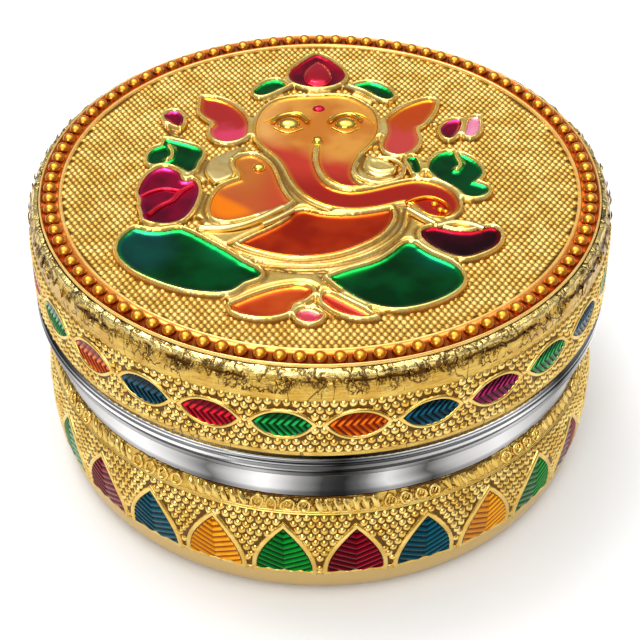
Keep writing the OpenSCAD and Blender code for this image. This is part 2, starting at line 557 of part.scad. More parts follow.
module relief() {
    translate([0, figure_y_share * figure_r]) {
        linear_extrude(wall_h + over) offset(delta = 0) relief_plan();
        linear_extrude(wall_h + crown_h + over) offset(delta = -wall_w / 4) relief_plan();
    }
}

function lip(r) = [[r, field_z], [r, field_z + lip_h * 0.6], [r + lip_w / 2, field_z + lip_h],
    [r + lip_w, field_z + lip_h * 0.6], [r + lip_w, field_z]];

module lid_plate() {
    low_z = field_z - sheet_t;
    color(gold) union() {
        rotate_extrude() polygon(concat([[0, low_z], [0, field_z]], lip(ring_in_r - lip_w),
            lip(ring_out_r), [[ring_out_r + lip_w, low_z]]));
        translate([0, 0, field_z - over]) relief();
    }
}

// Enamel fills of the figure

module placed() {
    translate([0, figure_y_share * figure_r, field_z]) children();
}

module pool(shares) {
    placed() linear_extrude(pool_h) offset(delta = -seat_gap) polygon(outline(shares, 2));
}

// A fill whose edge rounds over in fine steps
edge_steps = 3;
module dome(shares, height, edge_w) {
    for (k = [0:edge_steps - 1]) linear_extrude(height - edge_w
        + edge_w * sin(90 * (k + 1) / edge_steps))
            offset(delta = -seat_gap - edge_w * (1 - cos(90 * k / edge_steps)))
                polygon(outline(shares, 2));
}

module crown_jewel() {
    color(magenta) placed() difference() {
        dome(crown_jewel_shares, dome_h * 0.7, dome_w / 2);
        translate([0, 0, pool_h]) linear_extrude(dome_h)
            offset(delta = seat_gap) polygon(outline(crown_gem_shares, 2));
    }
}
module crown_gem() {
    color(red) placed() translate([0, 0, pool_h])
        dome(crown_gem_shares, dome_h * 0.6, dome_w / 2);
}
module crown_leaf_left() { color(green) pool(crown_leaf_left_shares); }
module crown_leaf_right() { color(green) pool(crown_leaf_right_shares); }
module head_and_trunk() { color(amber) placed() dome(head_shares, dome_h, dome_w); }
module eyes() {
    for (place = eye_place_shares) color(gold) placed()
        translate([place[0] * figure_r, place[1] * figure_r, dome_h])
            dome(eye_shares, crown_h, crown_h / 2);
}
module tilak() {
    color(red) placed() translate([tilak_place_share[0] * figure_r, tilak_place_share[1] * figure_r,
        dome_h]) linear_extrude(crown_h / 2) polygon(outline(tilak_shares, 2));
}
module ear_left() { color(magenta) placed() dome(ear_left_shares, dome_h * 0.75, dome_w / 2); }
module ear_right() { color(salmon) placed() dome(ear_right_shares, dome_h * 0.75, dome_w / 2); }
module arm() { color(orange) placed() dome(arm_shares, dome_h * 0.85, dome_w); }
module belly() { color(orange) placed() dome(belly_shares, dome_h * 0.85, dome_w); }
module bud_left() { color(purple) pool(bud_left_shares); }
module bud_right() { color(purple) pool(bud_right_shares); }
module bud_tip() { color(salmon) pool(bud_tip_shares); }
module upper_leaf_left() {
    color(green) curl_cut(curl_left_shares) pool(upper_leaf_left_shares);
}
module upper_leaf_right() {
    color(green) curl_cut(curl_right_shares) pool(upper_leaf_right_shares);
}
module curl_cut(shares) {
    difference() {
        children();
        placed() translate([0, 0, -over]) linear_extrude(pool_h + 2 * over)
            ribbon(line_of(shares, 3), fine_line + 2 * seat_gap);
    }
}
module slim_leaf() { color(green) pool(slim_leaf_shares); }
module lotus_left() { color(magenta) pool(lotus_left_shares); }
module lotus_right() { color(red) pool(lotus_right_shares); }
module seat_leaf_left() { color(green) pool(seat_leaf_left_shares); }
module seat_leaf_right() { color(green) pool(seat_leaf_right_shares); }
module petal_left() { color(salmon) pool(petal_left_shares); }
module petal_centre() { color(salmon) pool(petal_centre_shares); }
module petal_right() { color(red) pool(petal_right_shares); }

base_bowl();
base_sleeve();
base_leaves_green();
base_leaves_red();
base_leaves_teal();
base_leaves_amber();
lid_pan();
lid_band();
lid_plate();
ring_enamel();
bead_row();
marquises_green();
marquises_orange();
marquises_teal();
marquises_red();
marquises_purple();
crown_jewel();
crown_gem();
crown_leaf_left();
crown_leaf_right();
head_and_trunk();
eyes();
tilak();
ear_left();
ear_right();
arm();
belly();
bud_left();
bud_right();
bud_tip();
upper_leaf_left();
upper_leaf_right();
slim_leaf();
lotus_left();
lotus_right();
seat_leaf_left();
seat_leaf_right();
petal_left();
petal_centre();
petal_right();
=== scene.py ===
import bpy, bmesh, math
import numpy as np
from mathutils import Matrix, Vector
from mathutils.geometry import interpolate_bezier
from mathutils.kdtree import KDTree
from mathutils.bvhtree import BVHTree


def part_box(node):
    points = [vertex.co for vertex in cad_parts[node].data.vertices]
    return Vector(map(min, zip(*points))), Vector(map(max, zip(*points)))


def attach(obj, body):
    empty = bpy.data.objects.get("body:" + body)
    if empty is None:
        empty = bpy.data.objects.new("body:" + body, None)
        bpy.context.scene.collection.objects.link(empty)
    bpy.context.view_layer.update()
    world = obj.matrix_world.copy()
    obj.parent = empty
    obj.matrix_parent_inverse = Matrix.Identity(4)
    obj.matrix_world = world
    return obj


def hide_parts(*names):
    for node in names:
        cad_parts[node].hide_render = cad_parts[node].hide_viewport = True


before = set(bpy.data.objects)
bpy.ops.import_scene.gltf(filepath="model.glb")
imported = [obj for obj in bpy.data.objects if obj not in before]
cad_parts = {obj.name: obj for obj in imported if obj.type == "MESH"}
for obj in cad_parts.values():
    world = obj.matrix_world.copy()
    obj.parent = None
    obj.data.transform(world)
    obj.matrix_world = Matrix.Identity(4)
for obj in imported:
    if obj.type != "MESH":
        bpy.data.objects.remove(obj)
bpy.context.view_layer.update()

mm = 0.001
fieldZ = 38.24     # top of the flat gold plate
ringOut, ringIn = 35.51, 33.36     # ring of beads
figureR, figureY = 35.51, -0.71     # outlines of the figure are shares of this radius


# picking, editing and modifiers

def pick(*objects):
    bpy.ops.object.select_all(action="DESELECT")
    for obj in objects:
        obj.select_set(True)
        bpy.context.view_layer.objects.active = obj


def openUp(obj, action="SELECT"):
    pick(obj)
    bpy.ops.object.mode_set(mode="EDIT")
    bpy.ops.mesh.select_all(action=action)


def closeUp():     # back from editing
    bpy.ops.object.mode_set(mode="OBJECT")


def add(primitive, **settings):     # a new object by one of Blender's own operators
    bpy.ops.object.select_all(action="DESELECT")
    primitive(**settings)
    return bpy.context.object


def placed(name, data, stand=(0, 0, 0), turn=(0, 0, 0)):     # a new object with given data
    obj = bpy.data.objects.new(name, data)
    obj.location, obj.rotation_euler = stand, turn
    bpy.context.scene.collection.objects.link(obj)
    return obj


def tidy(obj, turn=True):     # doubles merged and faces outwards
    openUp(obj)
    bpy.ops.mesh.remove_doubles(threshold=0.0005 * mm)
    if turn:
        bpy.ops.mesh.normals_make_consistent(inside=False)
    closeUp()


def modifier(obj, kind, **settings):
    pick(obj)
    made = obj.modifiers.new(kind.lower(), kind)
    for key, value in settings.items():
        setattr(made, key, value)
    bpy.ops.object.modifier_apply(modifier=made.name)


def waver(obj, name, size, strength, ways, level=0.5, kind="CLOUDS", **settings):     # moved by soft noise, in mm
    texture = bpy.data.textures.new(name, kind)
    texture.noise_scale = size * mm
    if kind == "VORONOI":
        texture.distance_metric = "DISTANCE"
        texture.weight_1, texture.weight_2 = -1.0, 1.0
    for way in ways:
        modifier(obj, "DISPLACE", texture=texture, texture_coords="LOCAL", direction=way, strength=strength * mm,
                 mid_level=level, **settings)


def smooth(obj, angle=60):
    pick(obj)
    bpy.ops.object.shade_smooth_by_angle(angle=math.radians(angle))
    return obj


def pointsOf(obj):     # in mm
    co = np.zeros(len(obj.data.vertices) * 3, np.float32)
    obj.data.vertices.foreach_get("co", co)
    return co.reshape(-1, 3).astype(float) / mm


def setPoints(obj, co):     # in mm
    obj.data.vertices.foreach_set("co", (np.array(co) * mm).astype(np.float32).ravel())
    obj.data.update()


def settle(obj, name, material, body="lid", slot="gold_sheet", *nodes):     # names a piece, seats it on its body
    pick(obj)
    bpy.ops.object.transform_apply(location=True, rotation=True, scale=True)
    obj.name = obj.data.name = name
    obj.data.materials.clear()
    obj.data.materials.append(material)
    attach(obj, body)
    if nodes:
        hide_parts(*nodes)


def joined(objects):
    pick(*objects)
    bpy.context.view_layer.objects.active = objects[0]
    bpy.ops.object.join()
    return objects[0]


# paints

class Wire:     # a socket that takes part in sums
    def __init__(self, paint, socket):
        self.paint, self.socket = paint, socket

    def sums(self, kind, first, second):
        return self.paint.node("Math", {"operation": kind}, {0: first, 1: second})

    def __add__(self, other): return self.sums("ADD", self, other)
    def __radd__(self, other): return self.sums("ADD", other, self)
    def __sub__(self, other): return self.sums("SUBTRACT", self, other)
    def __rsub__(self, other): return self.sums("SUBTRACT", other, self)
    def __mul__(self, other): return self.sums("MULTIPLY", self, other)
    def __rmul__(self, other): return self.sums("MULTIPLY", other, self)
    def __truediv__(self, other): return self.sums("DIVIDE", self, other)
    def __rtruediv__(self, other): return self.sums("DIVIDE", other, self)
    def __pow__(self, other): return self.sums("POWER", self, other)


class Nodes:
    def __init__(self, owner):
        owner.use_nodes = True
        self.tree = owner.node_tree

    def feed(self, socket, value):
        if isinstance(value, Wire):
            self.tree.links.new(value.socket, socket)
        else:
            socket.default_value = value

    def node(self, kind, settings=None, values=None, out=0):
        made = self.tree.nodes.new("ShaderNode" + kind)
        for key, value in (settings or {}).items():
            if key == "stops":
                while len(made.color_ramp.elements) < len(value):
                    made.color_ramp.elements.new(0.5)
                for element, (place, colour) in zip(made.color_ramp.elements, value):
                    element.position, element.color = place, colour
            else:
                setattr(made, key, value)
        for key, value in (values or {}).items():
            self.feed(made.inputs[key], value)
        return Wire(self, made.outputs[out])


class Paint(Nodes):
    def __init__(self, name, **plain):
        self.material = bpy.data.materials.new(name)
        super().__init__(self.material)
        for key, value in plain.items():
            self.give(key, value)

    def give(self, name, value):     # coatWeight stands for the socket Coat Weight
        words = "".join(" " + c if c.isupper() else c for c in name).title().replace("I O R", "IOR")
        self.feed(self.tree.nodes["Principled BSDF"].inputs[words], value)

    def squashed(self, squash):
        return self.node("Mapping", None, {"Vector": self.node("TexCoord", out="Object"), "Scale": squash})

    def axis(self, letter, of="Object"):     # in mm, or a part of the face's direction
        split = self.node("SeparateXYZ", None, {0: self.node("TexCoord", out=of)}, out="XYZ".index(letter))
        return split if of == "Normal" else split / mm

    def noise(self, size, detail=2.0, rough=0.5, squash=(1, 1, 1)):     # size of a grain in mm
        return self.node("TexNoise", None, {"Vector": self.squashed(squash), "Scale": 1 / (size * mm),
                                            "Detail": detail, "Roughness": rough})

    def cracks(self, size, wide, squash, warp):     # 0 on thin lines between patches of foil
        spot = self.squashed(squash)
        sway = self.node("TexNoise", None, {"Vector": spot, "Scale": 1.6 / (size * mm), "Detail": 2.0}, out=1)
        spot = self.node("VectorMath", {"operation": "MULTIPLY_ADD"},
                         {0: sway, 1: (warp * size * mm,) * 3, 2: spot})
        lines = self.node("TexVoronoi", {"feature": "DISTANCE_TO_EDGE"},
                          {"Vector": spot, "Scale": 1 / (size * mm)})
        return self.between(lines, 0.0, wide)

    def clouds(self, size, low=0.36, high=0.64, detail=2.0):     # soft patches
        return self.between(self.noise(size, detail), low, high)

    def between(self, value, low, high):     # 0 below low, 1 above high
        return self.node("MapRange", {"interpolation_type": "SMOOTHSTEP"},
                         {"Value": value, "From Min": low, "From Max": high})

    def mix(self, share, first, second):
        made = self.tree.nodes.new("ShaderNodeMix")
        made.data_type = "RGBA"
        for socket, value in ((made.inputs[0], share), (made.inputs[6], first), (made.inputs[7], second)):
            self.feed(socket, value)
        return Wire(self, made.outputs[2])

    def colourFill(self, colour):     # an enamel's colour, lighter where its edge is thin, with a painted glint where that edge faces the front
        self.give("baseColor", self.mix(self.thin, colour, self.edge) if self.edge else colour)

    def bump(self, height, depth):     # depth in mm
        self.give("normal", self.node("Bump", None, {"Height": height, "Distance": depth * mm}))


def tint(red, green, blue):     # a screen colour from 0 to 255
    return tuple(((c / 255 + 0.055) / 1.055) ** 2.4 if c > 10 else c / 255 / 12.92
                 for c in (red, green, blue)) + (1.0,)


goldLooks = {
    "bright": tint(222, 186, 92), "deep": tint(206, 162, 68), "shadedGroove": tint(80, 48, 10),
    "ground": tint(120, 86, 34), "pit": tint(80, 52, 14), "pale": tint(252, 224, 142), "foot": tint(210, 180, 118),
    "grain": tint(220, 186, 106), "grainDeep": tint(196, 154, 72),
}


def goldPaint(name, bright, deep, roughness, grain, depth, metal=1.0):
    paint = Paint(name, metallic=metal)
    paint.give("baseColor", paint.mix(paint.clouds(2.6, 0.35, 0.68, 3.0), deep, bright))
    paint.give("roughness", roughness - 0.05 + 0.14 * paint.noise(0.9))
    paint.bump(paint.noise(grain, 3.0, 0.55), depth)
    return paint.material


foilLooks = {     # heights in mm: painted shade under the grain, creased zone with painted shade, plain foot, painted highlight along the top edge, painted dark band under the shoulder, painted dark groove
    "band": {"ground": (26.5, 34.3), "creased": (35.2, 37.6), "foot": 0.0, "pale": 37.4, "stain": (35.3, 37.5),
             "shadedGroove": 37.05},
    "sleeve": {"ground": (4.45, 15.0), "creased": (15.6, 17.6), "foot": 4.3, "pale": 60.0, "stain": (15.55, 17.5),
               "shadedGroove": 17.4},
}


def foilPaint(name, looks):     # thin sheet, creased in patches, with painted shade in its creases, folds and groove and under the grain, and a painted highlight along the top
    paint = Paint(name, metallic=0.92)
    x, z = paint.axis("X"), paint.axis("Z")

    def zone(low, high):
        return paint.between(z, low - 0.12, low + 0.12) * paint.between(z, high + 0.12, high - 0.12)

    patchy = paint.clouds(3.6, 0.45, 0.55, 1.0)
    # painted shade: the masks below darken creases, folds, a groove band and cracks on the ledge
    creased = (1.0 - paint.cracks(1.0, 0.1, (1, 1, 0.75), 0.9)) * patchy * zone(*looks["creased"])
    wavy = z + 0.9 * paint.noise(2.4) - looks["shadedGroove"]
    shadedGroove = paint.between(wavy, 0.2, 0.4) * paint.between(wavy, 0.8, 0.55) * paint.clouds(5.0, 0.42, 0.5, 1.0)
    folded = (1.0 - paint.cracks(6.0, 0.009, (1, 1, 0.2), 0.7)) * paint.clouds(3.0, 0.46, 0.5, 1.0)
    scratches = paint.between(paint.noise(0.34, 2.0, 0.5, (0.16, 0.16, 2.0)), 0.32, 0.6)
    ledge = (1.0 - paint.cracks(1.7, 0.13, (1, 1, 0.6), 1.0)) * paint.clouds(4.2, 0.4, 0.5, 1.0) \
        * paint.between(z - looks["shadedGroove"], -0.9, -0.5)
    lines = (1.0 - creased) * (1.0 - 0.75 * folded) * (1.0 - shadedGroove) * (1.0 - 0.9 * ledge)
    hatch = paint.noise(0.3, 2.0, 0.6, (1, 1, 0.7))
    # painted highlight: the foil made pale along its top edge
    pale = paint.between(z, looks["pale"], looks["pale"] + 0.4)
    gold = paint.mix(paint.clouds(2.4, 0.35, 0.68, 3.0), goldLooks["deep"], goldLooks["bright"])
    gold = paint.mix(pale, gold, goldLooks["pale"])
    gold = paint.mix(lines * (0.72 + 0.28 * scratches), goldLooks["shadedGroove"], gold)
    shadeInMiddle = 0.25 + 0.75 * paint.between(x * x, 21 ** 2, 10 ** 2)     # painted shade: strongest in the middle of the front and the back
    # painted shade and dark reflection: a hatched dark band under the shoulder
    gold = paint.mix(zone(*looks["stain"]) * paint.between(hatch, 0.54, 0.42) * (0.2 + 0.6 * patchy) * shadeInMiddle, gold,
                     goldLooks["shadedGroove"])
    # painted shade: dark pits between the pearls of the grain
    gold = paint.mix(zone(*looks["ground"]) * 0.95, gold, goldLooks["pit"])
    foot = paint.between(z, looks["foot"] + 0.1, looks["foot"] - 0.1)
    paint.give("baseColor", paint.mix(foot, gold, goldLooks["foot"]))
    paint.give("roughness", 0.15 + 0.14 * paint.noise(0.8) + 0.12 * foot)
    paint.bump((lines * 0.6 + hatch * 0.4 + scratches * 0.1 + paint.noise(1.4, 3.0, 0.6) * 0.3) * (1.0 - foot), 0.16)
    return paint.material


bandFoil = foilPaint("bandFoil", foilLooks["band"])
sleeveFoil = foilPaint("sleeveFoil", foilLooks["sleeve"])
gold = {name: goldPaint("gold" + name.title(), *looks) for name, looks in {
    "smooth": (tint(250, 222, 150), tint(242, 210, 132), 0.3, 1.6, 0.02),
    "grain": (goldLooks["grain"], goldLooks["grainDeep"], 0.4, 0.3, 0.01),
    "pearl": (tint(252, 220, 132), tint(220, 176, 82), 0.24, 0.5, 0.03),
    "rim": (tint(238, 206, 120), tint(218, 180, 88), 0.24, 1.2, 0.02),
    "lip": (tint(255, 218, 128), tint(250, 200, 108), 0.26, 1.6, 0.02, 0.55),
    "polished": (tint(238, 200, 96), tint(226, 180, 74), 0.16, 1.6, 0.02),
    # a dark copy of the gold, painted shade under the field's grain
    "ground": (goldLooks["ground"], goldLooks["ground"], 0.34, 0.35, 0.05),
}.items()}     # colours, roughness, size and depth of the grain, and how metallic

steelLooks = {     # painted reflections: brightness of the neck and of the rolled rim at angles from the front
    "neck": ((-180, 0.5), (-150, 0.7), (-120, 0.06), (-96, 0.5), (-67, 0.05), (-38, 0.92), (-30, 0.6), (-21, 0.12),
             (-11, 0.92), (-5, 0.3), (0, 0.04), (4, 0.01), (8, 0.12), (13, 0.75), (21, 0.08), (27, 0.5), (37, 0.92),
             (54, 0.3), (62, 0.5), (72, 0.12), (84, 0.6), (108, 0.04), (140, 0.66), (162, 0.12), (180, 0.5)),
    "rim": ((-180, 0.5), (-150, 0.6), (-120, 0.3), (-80, 0.6), (-63, 0.07), (-54, 0.3), (-47, 1.0), (-24, 0.95),
            (-14, 0.3), (-2, 0.1), (4, 0.02), (12, 0.25), (24, 0.55), (38, 0.95), (46, 0.4), (51, 0.05), (58, 0.3),
            (68, 0.9), (110, 0.3), (140, 0.66), (165, 0.3), (180, 0.5)),
    "roughness": 0.09,
}


def steelPaint():
    paint = Paint("turnedSteelPaintedReflections", metallic=1.0, anisotropic=0.3)
    around = paint.node("Math", {"operation": "ARCTAN2"}, {0: paint.axis("X"), 1: paint.axis("Y") * -1.0})
    lines = paint.noise(0.1, 2.0, 0.5, (0.02, 0.02, 1.0))
    sway = around / math.tau + 0.49 + 0.02 * paint.noise(3.0, 1.0, 0.5, (0.1, 0.1, 1.0))
    ramps = []
    # painted reflections: dark and light streaks round the neck and the rim
    for part in ("neck", "rim"):
        stops = [((angle + 180) / 360, (grey, grey, grey * 1.01, 1)) for angle, grey in steelLooks[part]]
        ramps.append(paint.node("ValToRGB", {"stops": stops}, {0: sway}))
    z = paint.axis("Z")
    # painted shade: the neck darker near its top and bottom
    neck = paint.between(z, 18.1, 19.2) * paint.between(z, 21.7, 20.6)
    turned = paint.between(paint.noise(0.42, 1.0, 0.5, (0.004, 0.004, 1.0)), 0.38, 0.6)
    high = paint.between(z, 22.6, 23.4)
    shade = neck * 0.85 + 0.5 * (1.0 - high) + high * (0.46 + 0.54 * turned)
    paint.give("baseColor", paint.mix(shade, (0, 0, 0, 1), paint.mix(high, *ramps)))
    paint.give("roughness", steelLooks["roughness"] + 0.08 * lines)
    paint.bump(lines, 0.004)
    return paint.material


steel = steelPaint()


def enamelPaint(name, colour, dark, metal, coat, edge=None):     # edge is the colour of a fill's thin rim, which also carries a painted glint where the rim faces the front
    paint = Paint(name, roughness=0.2, coatWeight=coat, coatRoughness=0.04, specularIORLevel=0.08)
    paint.fill = paint.mix(paint.clouds(5.5), tint(*dark), tint(*colour))
    paint.edge = edge and tint(*edge)
    if edge:
        # painted glint: the rim's rise is lighter and more metallic, mostly where it faces the front
        paint.thin = paint.between(paint.axis("Z"), fieldZ + 0.4, fieldZ + 0.54) \
            * (0.15 + 0.85 * paint.between(paint.axis("Y", "Normal"), -0.08, -0.3))
    paint.give("metallic", metal + (0.95 - metal) * paint.thin if edge else metal)
    paint.colourFill(paint.fill)
    paint.bump(paint.noise(2.2, 1.0), 0.05)
    return paint


def onFigure(x, y):     # from shares to mm
    return x * figureR, y * figureR + figureY


def spot(paint, x, y, wide):     # 1 inside a round patch of the figure, x and y in shares
    x, y = onFigure(x, y)
    across, up = paint.axis("X") - x, paint.axis("Y") - y
    return paint.between((across * across + up * up) ** 0.5, wide, wide * 0.4)


def headPaint():     # amber above, salmon down the trunk
    paint = enamelPaint("headEnamel", (0, 0, 0), (0, 0, 0), 0.4, 0.3, (255, 196, 30))
    x, y = paint.axis("X"), paint.axis("Y")
    down = paint.between(y + 0.42 * x + 3.0 * paint.noise(5.0, 1.0), 8.6, 4.2)
    red = paint.between(y, 3.0, -3.0)
    trunk = paint.mix(red, tint(200, 58, 40), tint(164, 28, 14))
    face = paint.mix(paint.clouds(5.0), tint(206, 122, 40), tint(226, 156, 66))
    face = paint.mix(paint.between(x, -3.0, -7.5) * 0.6, face, tint(244, 184, 104))
    paint.colourFill(paint.mix(down, face, trunk))
    return paint.material


def armPaint():     # honey with a glowing patch low on the left, redder to the right
    paint = enamelPaint("armEnamel", (0, 0, 0), (0, 0, 0), 0.45, 0.3, (255, 190, 30))
    x, y = paint.axis("X"), paint.axis("Y")
    fill = paint.mix(paint.between(x, -9.5, -4.5), tint(200, 116, 44), tint(200, 74, 40))
    fill = paint.mix(paint.between(y, 0.5, -5.0) * 0.6, fill, tint(202, 76, 40))
    glow = paint.between(0.615 * x + 0.79 * y, -10.2, -11.6)
    paint.colourFill(paint.mix(spot(paint, -0.315, -0.14, 4.6) * glow, fill, tint(255, 132, 0)))
    return paint.material


def earPaint(name, low, high, edge):     # two colours, one above the other
    paint = enamelPaint(name, low, low, 0.45, 0.3, edge)
    up = paint.between(paint.axis("Y") + 5.0 * paint.noise(2.4, 1.0), 12.0, 15.4)
    paint.colourFill(paint.mix(up, tint(*low), tint(*high)))
    return paint.material


def seatPaint(name, *spots):     # deep green with soft lighter patches of painted reflection, each x, y, width, share and colour
    paint = enamelPaint(name, (0, 96, 42), (0, 66, 24), 0.92, 0.05, (30, 236, 90))
    fill = paint.fill
    for x, y, wide, share, colour in spots:
        fill = paint.mix(spot(paint, x, y, wide) * share, fill, colour)
    paint.colourFill(fill)
    return paint.material


enamelLooks = {     # bright colour, deep colour, how metallic, its coat and the colour of its thin edge with its painted glint
    "green": ((0, 100, 46), (0, 72, 24), 0.92, 0.05, (30, 236, 90)),
    "magenta": ((170, 6, 58), (112, 4, 40), 0.8, 0.08, (250, 60, 150)),
    "cherry": ((180, 8, 46), (112, 4, 34), 0.8, 0.08, (250, 40, 70)),
    "pink": ((222, 76, 96), (190, 44, 72), 0.5, 0.1, (250, 170, 120)),
    "salmon": ((222, 80, 54), (198, 48, 30), 0.5, 0.1, (255, 150, 60)),
    "rust": ((190, 52, 6), (160, 30, 2), 0.6, 0.08, (255, 140, 30)),
    "honey": ((206, 80, 26), (188, 56, 14), 0.5, 0.1, (255, 170, 50)),
    "wine": ((64, 4, 22), (36, 2, 14), 0.8, 0.08, (226, 10, 40)),
    "lilac": ((236, 156, 186), (226, 130, 166), 0.3, 0.2, (250, 200, 220)),
    "gem": ((226, 16, 60), (190, 6, 40), 0.7, 0.4),
    "knob": ((255, 190, 60), (250, 170, 40), 0.9, 0.1),
}
enamel = {name: enamelPaint(name + "Enamel", *looks).material for name, looks in enamelLooks.items()}
enamel.update({
    "head": headPaint(), "arm": armPaint(),
    "seatLeft": seatPaint("seatLeftEnamel", (-0.62, -0.4, 6.0, 0.5, tint(34, 104, 110)),
                          (-0.3, -0.4, 5.0, 0.5, tint(6, 150, 80))),
    "seatRight": seatPaint("seatRightEnamel", (0.06, -0.46, 5.0, 0.7, tint(20, 150, 50)),
                           (0.42, -0.42, 5.0, 0.45, tint(10, 120, 100))),
    "earLeft": earPaint("earLeftEnamel", (228, 66, 102), (180, 40, 36), (255, 190, 30)),
    "earRight": earPaint("earRightEnamel", (208, 70, 66), (196, 70, 6), (255, 200, 30)),
})

ribbedLooks = {     # the groove colour, with painted shade, and the crest colour, with painted highlight, of the ribs
    "leafGreen": ((0, 26, 4), (0, 146, 40)), "crimson": ((40, 0, 4), (140, 0, 26)),
    "emerald": ((0, 40, 10), (30, 184, 84)), "leafTeal": ((0, 22, 32), (0, 86, 104)),
    "amber": ((140, 58, 0), (255, 176, 24)), "orange": ((110, 22, 0), (250, 120, 20)),
    "teal": ((0, 14, 22), (12, 92, 116)), "ruby": ((78, 0, 8), (240, 26, 50)),
    "plum": ((48, 0, 18), (180, 26, 96)),
}


def ribbedPaint(name, shadedGroove, crest):     # enamel over ribs, with painted shade deep in the grooves and painted highlight on the crests
    paint = Paint(name, metallic=0.95, roughness=0.22, specularIORLevel=0.1)
    rib = paint.node("Attribute", {"attribute_name": "rib"}, out=2)
    paint.give("baseColor", paint.mix(rib * (0.8 + 0.2 * paint.clouds(1.5, 0.2, 0.8)), tint(*shadedGroove), tint(*crest)))
    paint.bump(paint.noise(0.7), 0.04)
    return paint.material


def ringPaint():     # orange brown, with a painted glint where it meets the inner lip
    paint = Paint("ringEnamel", metallic=0.85, roughness=0.2, coatWeight=0.1, coatRoughness=0.05)
    x, y = paint.axis("X"), paint.axis("Y")
    radius = (x * x + y * y) ** 0.5
    fill = paint.mix(paint.clouds(2.5), tint(158, 66, 10), tint(194, 96, 22))
    paint.give("baseColor", paint.mix(paint.between(radius, ringIn + 0.4, ringIn + 0.08), fill, tint(255, 166, 70)))
    paint.bump(paint.noise(1.2, 1.0), 0.05)
    return paint.material


enamel.update({name: ribbedPaint(name + "Enamel", *looks) for name, looks in ribbedLooks.items()})
enamel["ring"] = ringPaint()
print("paints are mixed")


# lines and lathe work

def roundedLine(points, steps):     # a smooth line through the points, in mm
    spots, line = [Vector((x, 0, z)) for x, z in points], []
    for i in range(len(spots) - 1):
        a, b = spots[i], spots[i + 1]
        before, after = spots[max(i - 1, 0)], spots[min(i + 2, len(spots) - 1)]
        reach = (b - a).length / 3
        part = interpolate_bezier(a, a + (b - before).normalized() * reach,
                                  b - (after - a).normalized() * reach, b, steps + 1)
        line += part[:-1]
    return [(p.x, p.z) for p in line + [spots[-1]]]


def arc(cx, cz, rx, rz, first, last, steps):
    return [(cx + rx * math.cos(math.radians(first + (last - first) * i / steps)),
             cz + rz * math.sin(math.radians(first + (last - first) * i / steps))) for i in range(steps + 1)]


def lathe(profile, steps, closed=False):     # draws the profile point by point and spins it
    obj = add(bpy.ops.mesh.primitive_plane_add, size=mm)
    openUp(obj)
    bpy.ops.mesh.merge(type="CENTER")
    bpy.ops.transform.translate(value=(profile[0][0] * mm, 0, profile[0][1] * mm))
    for (x0, z0), (x1, z1) in zip(profile, profile[1:]):
        bpy.ops.mesh.extrude_region_move(
            TRANSFORM_OT_translate={"value": ((x1 - x0) * mm, 0, (z1 - z0) * mm)})
    if closed:
        shape = bmesh.from_edit_mesh(obj.data)
        shape.verts.ensure_lookup_table()
        shape.edges.new((shape.verts[0], shape.verts[-1]))
    bpy.ops.mesh.select_all(action="SELECT")
    bpy.ops.mesh.spin(steps=steps, angle=math.tau, center=(0, 0, 0), axis=(0, 0, 1))
    closeUp()
    tidy(obj)
    return obj


def offsetLine(points, distance):     # a closed outline moved outwards, corners mitred
    moved, count = [], len(points)
    for i, (x, z) in enumerate(points):
        ax, az = points[i - 1]
        bx, bz = points[(i + 1) % count]
        first, second = Vector((x - ax, z - az)).normalized(), Vector((bx - x, bz - z)).normalized()
        n1, n2 = Vector((first.y, -first.x)), Vector((second.y, -second.x))
        both = n1 + n2
        moved.append((x + both.x * distance / max(0.5, 1 + n1.dot(n2)),
                      z + both.y * distance / max(0.5, 1 + n1.dot(n2))))
    return moved


sleeveSizes = {
    "foot": (34.52, 0.17), "ankle": (36.57, 3.75), "belly": (37.07, 9.8), "crease": (36.57, 15.2),
    "top": (36.02, 17.6), "sheet": 0.4,
}
bandSizes = {"lowR": 37.4, "lowZ": 25.94, "creaseR": 37.2, "creaseZ": 34.54, "plateR": 35.88, "rise": 3.7,
             "square": 0.5, "sheet": 0.4}


def sleeveLine():
    s = sleeveSizes
    foot = arc(s["foot"][0], s["ankle"][1], s["ankle"][0] - s["foot"][0], s["ankle"][1] - s["foot"][1], -90, 0, 12)
    return foot[:-1] + roundedLine([s["ankle"], s["belly"], s["crease"], s["top"]], 14)


def bandLine():
    s = bandSizes
    wide = s["creaseR"] - s["plateR"]
    side = [(s["lowR"] + (s["creaseR"] - s["lowR"]) * i / 20,
             s["lowZ"] + (s["creaseZ"] - s["lowZ"]) * i / 20) for i in range(21)]
    over = [(s["plateR"] + wide * math.cos(math.radians(a)) ** s["square"],
             s["creaseZ"] + s["rise"] * math.sin(math.radians(a)) ** s["square"]) for a in range(3, 91, 3)]
    return side + over


def radiusOn(line, z):     # outer radius at height z, both in mm
    line = sorted((q[1], q[0]) for q in line)
    return np.interp(z, [q[0] for q in line], [q[1] for q in line])


def rollRound(obj, side):     # a strip that was embossed flat at y = 0 is rolled round the box
    co = pointsOf(obj)
    turn = co[:, 0] / side["long"] * math.tau
    out = radiusOn(side["line"], co[:, 2]) - co[:, 1]
    setPoints(obj, np.stack([out * np.sin(turn), -out * np.cos(turn), co[:, 2]], 1))


def repeat(obj, count, step):
    modifier(obj, "ARRAY", count=count, use_relative_offset=False, use_constant_offset=True,
             constant_offset_displace=step)


def innerLine(line, by):     # the same line moved towards the axis
    spots = [Vector(q) for q in line]
    moved = []
    for i, q in enumerate(spots):
        way = (spots[min(i + 1, len(spots) - 1)] - spots[max(i - 1, 0)]).normalized()
        moved.append((q.x - way.y * by, q.y + way.x * by))
    return moved


# steel bowl and steel lid pan

bowlSizes = {"wall": 0.45, "floor": 0.7, "neckR": 36.05, "beadZ": 22.7, "beadOut": 1.28, "beadHalf": 0.88,
             "baseR": 34.06, "skin": 0.46, "ledge": [(35.56, 17.45), (35.62, 17.66), (36.0, 17.7)]}


